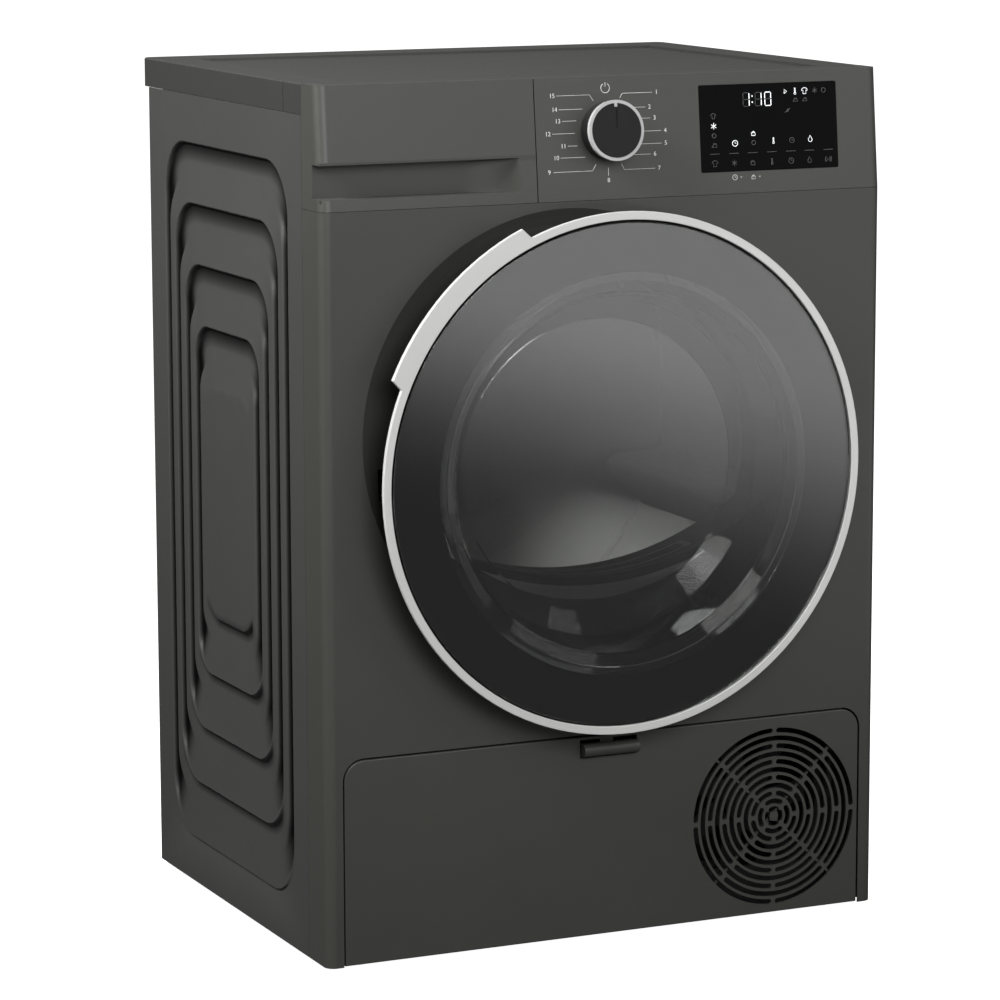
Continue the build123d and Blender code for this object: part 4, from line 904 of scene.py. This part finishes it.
def circle(centre: Point, radius: float, start: float = 0.0, sweep: float = 360.0, steps: int = 16) -> Line:
    """Points of an arc, in the units given, with angles in degrees."""
    return [
        (centre[0] + radius * math.cos(math.radians(start + sweep * k / steps)),
         centre[1] + radius * math.sin(math.radians(start + sweep * k / steps)))
        for k in range(steps + 1)
    ]


class Sign(Enum):
    """Generic signs on the controls, drawn in a square of side 2 about the middle."""

    POWER = [circle((0, 0), 1.0, 120, 300), [(0, 0.3), (0, 1.15)]]
    RING = [circle((0, 0), 0.8)]
    STAR = [[(0, -1), (0, 1)], [(-0.87, -0.5), (0.87, 0.5)], [(-0.87, 0.5), (0.87, -0.5)]]
    LOCK = [[(-0.7, -0.9), (0.7, -0.9), (0.7, 0.1), (-0.7, 0.1), (-0.7, -0.9)], circle((0, 0.1), 0.45, 0, 180, 8)]
    HEAT = [circle((0, -0.7), 0.32), [(-0.14, -0.4), (-0.14, 0.9), (0.14, 0.9), (0.14, -0.4)]]
    DROP = [circle((0, -0.3), 0.65, -230, 280), [(-0.42, 0.2), (0, 1.0), (0.42, 0.2)]]
    CLOCK = [circle((0, 0), 0.85), [(0, 0.5), (0, 0), (0.4, 0)]]
    SHIRT = [[
        (-0.5, -0.9), (-0.5, 0.2), (-0.95, 0.0), (-0.95, 0.5), (-0.35, 0.9), (0.35, 0.9),
        (0.95, 0.5), (0.95, 0.0), (0.5, 0.2), (0.5, -0.9), (-0.5, -0.9),
    ]]
    IRON = [[(-0.9, -0.6), (0.9, -0.6), (0.7, 0.3), (-0.3, 0.3), (-0.9, -0.6)], [(-0.4, 0.6), (0.6, 0.6), (0.7, 0.3)]]
    PLAY = [
        [(-0.9, -0.7), (-0.9, 0.7), (0.1, 0), (-0.9, -0.7)], [(0.45, -0.7), (0.45, 0.7)], [(0.85, -0.7), (0.85, 0.7)]
    ]
    ARROW = [[(-0.5, -0.8), (-0.5, 0.8), (0.6, 0), (-0.5, -0.8)]]
    SPRIG = [[(-0.9, -0.6), (0.2, 0.0), (0.9, 0.6)], [(-0.2, -0.2), (0.3, 0.5)], [(-0.4, -0.35), (0.4, -0.3)]]
    TICK = [[(-0.4, 0.3), (0, -0.4), (0.4, 0.3)]]

    def at(self, u: float, v: float, half: float) -> list[Line]:
        """The sign's lines at a place.

        Args:
            u: Middle across the face, in metres.
            v: Middle up the face, in metres.
            half: Half its size in metres.

        Returns:
            Runs of points in metres.
        """
        return [[(u + x * half, v + y * half) for x, y in line] for line in self.value]


@dataclass
class ControlPrints:
    """Dial numbers and pointers, the lit display and the printed signs, each a thin raised print."""

    lines: LineTree
    ink_lift: float = 0.02 * MM
    digit_size: Point = (6.6 * MM, 13.0 * MM)
    left_pointers: tuple[tuple, ...] = (
        (-52.0, 33.0, -17.0, (-13.0, 27.0)), (-50.0, 19.8, -25.0, None), (-47.0, 8.8, -32.0, None),
        (-58.0, -3.0, -34.0, None), (-42.0, -15.0, -32.0, None), (-50.0, -26.0, -24.0, None),
        (-58.0, -39.4, -17.0, (-13.0, -33.4)),
    )
    right_pointers: tuple[tuple, ...] = (
        (50.0, 33.4, 18.0, (15.0, 29.0)), (42.0, 19.6, 29.0, None), (47.0, 8.9, 35.0, None), (58.0, -3.5, 36.0, None),
        (58.0, -15.6, 35.0, None), (46.0, -25.6, 28.0, None), (50.0, -39.4, 17.0, (14.0, -33.5)),
    )

    def build(self) -> None:
        """Draw every print on the leaning face."""
        self.face = FacePlane.from_fascia()
        knob_low, knob_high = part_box("knob_ring")
        self.knob_v = self.face.height((knob_low.z + knob_high.z) / 2)
        low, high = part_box("display_window")
        self.window = (low.x, high.x, self.face.height(low.z), self.face.height(high.z))
        self._dial()
        self._display()

    def _print(self, name: str, lines: list[Line], width: float, finish: Finish) -> None:
        """Put drawn lines on the face as one piece."""
        mesh = self.lines.draw(name, lines, width, finish)
        mesh.transform(self.face.matrix(self.ink_lift))
        place(name, mesh, finish, "cabinet")

    def _dial(self) -> None:
        """Pointer lines, numbers and the power sign round the dial."""
        middle = self.knob_v
        leaders: list[Line] = []
        labels: list[tuple[str, float, float]] = []
        for index, (outer, v, inner, bend) in enumerate(self.left_pointers + self.right_pointers):
            line = [(outer * MM, middle + v * MM), (inner * MM, middle + v * MM)]
            if bend:
                line.append((bend[0] * MM, middle + bend[1] * MM))
            leaders.append(line)
            side = -1.0 if outer < 0.0 else 1.0
            number = 15 - index if side < 0.0 else index - 6
            labels.append((str(number), (outer + side * 4.5) * MM, middle + v * MM))
        below = middle - 37.0 * MM
        leaders.append([(0.0, below), (0.0, below - 7.5 * MM)])
        labels.append(("8", 0.0, below - 12.0 * MM))
        self._print("dial_leaders", leaders, 0.4 * MM, Finish.PRINT_INK)
        self._numbers(labels)
        self._print("power_sign", Sign.POWER.at(0.0, middle + 39.0 * MM, 4.6 * MM), 0.6 * MM, Finish.PRINT_INK)

    def _numbers(self, labels: list[tuple[str, float, float]]) -> None:
        """Raised numbers round the dial as one piece.

        Args:
            labels: Text with its middle on the face.
        """
        shape = bmesh.new()
        for text, u, v in labels:
            curve = bpy.data.curves.new("dial_number", "FONT")
            curve.body, curve.size, curve.extrude = text, 6.0 * MM, 0.05 * MM
            curve.align_x = curve.align_y = "CENTER"
            curve.resolution_u = 3
            obj = show("dial_number", curve)
            bpy.context.view_layer.update()
            mesh = bpy.data.meshes.new_from_object(obj.evaluated_get(bpy.context.evaluated_depsgraph_get()))
            mesh.transform(Matrix.Translation((u, v, 0.05 * MM)))
            shape.from_mesh(mesh)
            bpy.data.objects.remove(obj)
        mesh = bpy.data.meshes.new("dial_numbers")
        shape.to_mesh(mesh)
        shape.free()
        mesh.transform(self.face.matrix(self.ink_lift))
        place("dial_numbers", mesh, Finish.PRINT_INK, "cabinet")

    def _segments(self, digit: str, left: float, low: float) -> tuple[list[Line], list[Line]]:
        """Seven segments of one digit.

        Args:
            digit: The digit to show.
            left: Left edge.
            low: Lower edge.

        Returns:
            The lit and the unlit segments.
        """
        w, h = self.digit_size
        g = 0.5 * MM
        ends = {
            "a": ((g, h), (w - g, h)), "b": ((w, h - g), (w, h / 2 + g)), "c": ((w, h / 2 - g), (w, g)),
            "d": ((g, 0), (w - g, 0)), "e": ((0, g), (0, h / 2 - g)), "f": ((0, h / 2 + g), (0, h - g)),
            "g": ((g, h / 2), (w - g, h / 2)),
        }
        lit = {"0": "abcdef", "1": "bc"}[digit]
        groups: tuple[list[Line], list[Line]] = ([], [])
        for key, line in ends.items():
            groups[0 if key in lit else 1].append([(left + x, low + y) for x, y in line])
        return groups

    def _display(self) -> None:
        """Clock digits, status signs and touch signs on the window."""
        left, right, low, high = self.window
        span, rise = right - left, high - low
        bright: list[Line] = []
        dim: list[Line] = []
        for place_u, digit in ((0.320, "1"), (0.408, "1"), (0.478, "0")):
            lit, unlit = self._segments(digit, left + place_u * span, low + 0.745 * rise)
            bright += lit
            dim += unlit
        colon = left + 0.386 * span
        for share in (0.79, 0.86):
            bright += [circle((colon, low + share * rise), 0.35 * MM, steps=6)]
        self._print("clock_digits", bright, 0.9 * MM, Finish.LIT_WHITE)
        lit_signs = [
            (Sign.ARROW, 0.63, 0.90, 2.6), (Sign.HEAT, 0.70, 0.90, 3.2), (Sign.SHIRT, 0.77, 0.90, 3.2),
            (Sign.STAR, 0.10, 0.53, 3.2), (Sign.CLOCK, 0.25, 0.325, 3.4), (Sign.LOCK, 0.385, 0.435, 2.8),
            (Sign.HEAT, 0.53, 0.34, 3.0), (Sign.DROP, 0.80, 0.345, 3.2),
        ]
        touch_signs = [
            (Sign.SHIRT, 0.10, 0.10, 3.2), (Sign.STAR, 0.24, 0.10, 3.0), (Sign.LOCK, 0.375, 0.10, 3.0),
            (Sign.HEAT, 0.515, 0.10, 3.0), (Sign.CLOCK, 0.655, 0.10, 3.2), (Sign.DROP, 0.79, 0.10, 3.0),
            (Sign.PLAY, 0.93, 0.10, 3.6),
        ]
        dim_signs = [
            (Sign.STAR, 0.845, 0.90, 2.8), (Sign.RING, 0.91, 0.90, 2.8), (Sign.IRON, 0.70, 0.80, 2.6),
            (Sign.IRON, 0.77, 0.80, 2.6), (Sign.SPRIG, 0.64, 0.68, 3.2), (Sign.SHIRT, 0.10, 0.645, 2.8),
            (Sign.RING, 0.10, 0.42, 2.6), (Sign.IRON, 0.10, 0.31, 3.0), (Sign.RING, 0.385, 0.325, 2.6),
            (Sign.CLOCK, 0.665, 0.335, 3.0), *touch_signs,
        ]
        for name, signs, ink in (("lit_signs", lit_signs, Finish.LIT_WHITE), ("dim_signs", dim_signs, Finish.LIT_DIM)):
            lines = [line for sign, u, v, half in signs for line in sign.at(left + u * span, low + v * rise, half * MM)]
            if ink is Finish.LIT_DIM:
                bar_v = low + 0.21 * rise
                lines += dim
                lines += [
                    [(left + (u + end) * span, bar_v) for end in (-0.035, 0.035)] for _, u, _, _ in touch_signs
                ]
            self._print(name, lines, 0.5 * MM, ink)
        under = low - 5.5 * MM
        marks = ((Sign.CLOCK, 0.24, 3.0), (Sign.TICK, 0.285, 2.0), (Sign.LOCK, 0.375, 2.6), (Sign.TICK, 0.42, 2.0))
        printed = [line for sign, u, half in marks for line in sign.at(left + u * span, under, half * MM)]
        self._print("window_signs", printed, 0.5 * MM, Finish.PRINT_INK)


# ---------------------------------------------------------------- lint mesh
@dataclass
class LintMesh:
    """Woven crescent set in the lip of the loading opening, just below its curved upper edge."""

    lines: LineTree
    arc_z: float = 0.678
    arc_radius: float = 0.318
    drop: float = 9.0 * MM
    depth: float = 13.0 * MM
    half_width: float = 122.0 * MM
    lip_depth: float = 36.0 * MM
    pitch: float = 2.2 * MM
    wire: float = 0.7 * MM

    def build(self) -> None:
        """Weave the crescent and fix it to the lip."""
        low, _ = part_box("front_panel")
        wide = self.half_width
        rows = [self._row(wide, share / 6.0) for share in range(7)]
        steps = int(2.0 * wide / self.pitch)
        weave = rows + [
            [self._point(-wide + k * self.pitch, wide, 0.0), self._point(-wide + (k + lean) * self.pitch, wide, 1.0)]
            for k in range(4, steps - 4)
            for lean in (-1.5, 1.5)
        ]
        mesh = self.lines.draw("lint_mesh", weave, self.wire, Finish.LINT_MESH)
        upright = Matrix.Rotation(math.radians(90.0), 4, "X")
        mesh.transform(Matrix.Translation((0.0, low.y + self.lip_depth - 0.1 * MM, 0.0)) @ upright)
        place("lint_mesh", mesh, Finish.LINT_MESH, "cabinet")

    def _point(self, x: float, wide: float, share: float) -> Point:
        """A point of the crescent.

        Args:
            x: Across.
            wide: Half the crescent's width.
            share: Way down, from 0 at its upper edge to 1 at its lower one.

        Returns:
            Across and height.
        """
        upper = self.arc_z - math.sqrt(self.arc_radius**2 - x * x) - self.drop
        return x, upper - share * self.depth * max(0.0, 1.0 - (x / wide) ** 2)

    def _row(self, wide: float, share: float) -> Line:
        """One long wire of the weave."""
        return [self._point(-wide + 2.0 * wide * k / 40, wide, share) for k in range(41)]


# ---------------------------------------------------------------- carried-over parts
PLAIN_DRESS: dict[Finish, tuple[str, ...]] = {
    Finish.SIDE_SHEET: ("side_panel_left", "side_panel_right"),
    Finish.FRONT_SHEET: ("front_panel", "kick_flap", "flap_latch"),
    Finish.CONTROL_PLASTIC: ("control_fascia", "drawer_front"),
    Finish.WORKTOP_PLASTIC: ("worktop_frame",),
    Finish.WORKTOP_SHEET: ("worktop_board",),
    Finish.GLOSS_WINDOW: ("display_window",),
    Finish.CIRCUIT_BOARD: ("control_board",),
    Finish.KNOB_PLASTIC: ("knob_body",),
    Finish.BRIGHT_RING: ("knob_ring",),
    Finish.SATIN_RING: ("door_ring",),
    Finish.SMOKED_GLASS: ("door_glass",),
    Finish.CLEAR_BOWL: ("door_bowl",),
    Finish.DOOR_BORDER: ("door_frame",),
    Finish.DARK_PLASTIC: (
        "mains_inlet", "base_tray", "loading_throat", "fan_scroll", "air_ducts", "exchanger_cover",
        "condensate_pump", "inverter_box",
    ),
    Finish.FILTER_PLASTIC: ("lint_filter",),
    Finish.LEVER_PLASTIC: ("cover_lever_left", "cover_lever_right"),
    Finish.COOLING_PLASTIC: ("cooling_fan", "cooling_shroud"),
    Finish.FAN_PLASTIC: ("process_fan", "tank_housing"),
    Finish.TANK_PLASTIC: ("water_tank", "tank_lid"),
    Finish.DRUM_STEEL: ("drum_shell", "drum_back"),
    Finish.LIFTER_PLASTIC: ("drum_lifters",),
    Finish.SHAFT_STEEL: ("drum_shaft", "motor_rotor", "door_fittings", "door_hinge_arm", "tensioner_arm"),
    Finish.GALVANISED: ("rear_panel", "front_bulkhead", "rear_bulkhead", "air_pan", "screws"),
    Finish.BLACK_RUBBER: (
        "door_seal", "drum_belt", "roller_left", "roller_right", "idler_pulley",
        "foot_front_left", "foot_front_right", "foot_rear_left", "foot_rear_right",
    ),
    Finish.FELT: ("drum_seals",),
    Finish.MOTOR_STEEL: ("motor_body",),
    Finish.COMPRESSOR_PAINT: ("compressor",),
    Finish.FIN_ALUMINIUM: ("heat_exchangers",),
}


class CarriedParts:
    """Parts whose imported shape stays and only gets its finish."""

    def build(self) -> None:
        """Dress every part by the table."""
        for finish, names in PLAIN_DRESS.items():
            for name in names:
                dress(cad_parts[name], finish)
        missing = set(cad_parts) - {name for names in PLAIN_DRESS.values() for name in names}
        if missing:
            log.warning("no finish for %s", sorted(missing))


# ---------------------------------------------------------------- studio
@dataclass
class Studio:
    """Pale floor, soft lights and the camera."""

    floor_size: float = 60.0
    floor_bounce: float = 0.06
    ambient: float = 0.19
    card_level: Point = (0.2, 2.05)
    card_ramp: Point = (0.7, 2.35)
    camera_at: tuple[float, float, float] = (-1.7330, -3.7564, 1.1155)
    yaw: float = 24.584
    pitch: float = 9.726
    roll: float = -0.139
    lens: float = 148.2

    def build(self) -> None:
        """Make the floor, the surroundings, the lights and the camera."""
        bpy.context.scene.view_settings.view_transform = "Standard"
        self._surroundings()
        self._floor()
        self._softbox("side_softbox", (-1.9, -0.3, 2.1), (-0.3, 0.0, 0.95), (0.9, 0.9), 23.0, 75.0)
        self._softbox("front_softbox", (-0.6, -4.4, 2.4), (0.0, -0.2, 0.45), (2.6, 2.0), 155.0)
        self._softbox("right_softbox", (2.2, -2.4, 1.9), (0.1, -0.2, 0.5), (1.2, 1.6), 18.0)
        self._softbox("drum_light", (0.05, 0.0, 0.66), (-0.02, 0.1, 0.40), (0.12, 0.12), 0.13)
        self._card()
        self._camera()

    def _surroundings(self) -> None:
        """Dim even surroundings that look pale from the camera."""
        world = bpy.data.worlds.new("studio_surroundings")
        world.use_nodes = True
        tree = world.node_tree
        background = tree.nodes["Background"]
        background.inputs["Color"].default_value = (1.0, 1.0, 1.0, 1.0)
        seen = put(tree, "ShaderNodeLightPath")
        level = put(tree, "ShaderNodeMapRange", {"To Min": self.ambient, "To Max": 1.0})
        wire(tree, (seen, "Is Camera Ray", level, "Value"), (level, "Result", background, "Strength"))
        bpy.context.scene.world = world

    def _plane(self, name: str, corners: list[tuple[float, float, float]], shader: ShaderTree) -> bpy.types.Object:
        """Add one flat sheet of the studio.

        Args:
            name: Its name.
            corners: Its corners in order.
            shader: Its material's tree.

        Returns:
            The new object.
        """
        mesh = bpy.data.meshes.new(name)
        mesh.from_pydata(corners, [], [tuple(range(len(corners)))])
        mesh.materials.append(shader.material)
        obj = show(name, mesh)
        return obj

    def _floor(self) -> None:
        """Large pale floor that throws little light back at the object."""
        shader = ShaderTree("pale_floor_paint")
        seen = shader.node("ShaderNodeLightPath")
        tone = shader.node("ShaderNodeMix", data_type="RGBA")
        tone.inputs["A"].default_value = (*[self.floor_bounce] * 3, 1.0)
        tone.inputs["B"].default_value = (0.92, 0.92, 0.92, 1.0)
        shader.link(seen.outputs["Is Camera Ray"], tone.inputs["Factor"])
        shader.link(tone.outputs["Result"], shader.surface.inputs["Base Color"])
        shader.set(Roughness=0.9, Specular_IOR_Level=0.0, Emission_Color=(1.0, 1.0, 1.0, 1.0))
        shader.link(seen.outputs["Is Camera Ray"], shader.surface.inputs["Emission Strength"])
        half = self.floor_size / 2
        corners = [(-half, -half, 0.0), (half, -half, 0.0), (half, half, 0.0), (-half, half, 0.0)]
        self._plane("pale_floor", corners, shader)

    def _card(self) -> None:
        """Lit sheet low at the front right, brighter to the right, that the door glass mirrors."""
        shader = ShaderTree("lit_sheet")
        parts = shader.node("ShaderNodeSeparateXYZ")
        shader.link(shader.place, parts.inputs["Vector"])
        across = shader.node("ShaderNodeMapRange", interpolation_type="SMOOTHERSTEP")
        across.inputs["From Min"].default_value, across.inputs["From Max"].default_value = self.card_ramp
        across.inputs["To Min"].default_value, across.inputs["To Max"].default_value = self.card_level
        shader.link(parts.outputs["X"], across.inputs["Value"])
        shader.set(Base_Color=(0.0, 0.0, 0.0, 1.0), Emission_Color=(1.0, 1.0, 1.0, 1.0), Specular_IOR_Level=0.0)
        shader.link(across.outputs["Result"], shader.surface.inputs["Emission Strength"])
        left, right, near, far, rise = -0.2, 3.6, -0.8, -7.5, 0.004
        corners = [(left, near, rise), (left, far, rise), (right, far, rise), (right, near, rise)]
        card = self._plane("lit_sheet", corners, shader)
        card.visible_camera = False

    @staticmethod
    def _softbox(name: str, at: tuple, towards: tuple, size: Point, power: float, spread: float = 180.0) -> None:
        """Large soft light that isn't seen directly.

        Args:
            name: The light's name.
            at: Where it stands.
            towards: The point it faces.
            size: Width and height.
            power: Watts.
            spread: Angle of its beam in degrees.
        """
        light = bpy.data.lights.new(name, "AREA")
        light.shape = "RECTANGLE"
        light.size, light.size_y = size
        light.energy = power
        light.spread = math.radians(spread)
        obj = show(name, light)
        obj.location = at
        obj.rotation_euler = (Vector(towards) - Vector(at)).to_track_quat("-Z", "Y").to_euler()
        obj.visible_camera = False

    def _camera(self) -> None:
        """Camera at the product view."""
        data = bpy.data.cameras.new("product_view")
        data.lens = self.lens
        data.sensor_width = 36.0
        data.clip_start, data.clip_end = 0.05, 200.0
        camera = show("product_view", data)
        turn = (
            Matrix.Rotation(math.radians(-self.yaw), 4, "Z")
            @ Matrix.Rotation(math.radians(90.0 - self.pitch), 4, "X")
            @ Matrix.Rotation(math.radians(self.roll), 4, "Z")
        )
        camera.matrix_world = Matrix.Translation(self.camera_at) @ turn
        bpy.context.scene.camera = camera


def main() -> None:
    """Build the whole scene in order and note its size."""
    logging.basicConfig(level=logging.INFO, format="%(name)s: %(message)s")
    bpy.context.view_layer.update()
    Studio().build()
    CarriedParts().build()
    for side in Side:
        EmbossedSide(side).build()
    lines = LineTree()
    ControlPrints(lines).build()
    LintMesh(lines).build()


if __name__ == "__main__":
    main()
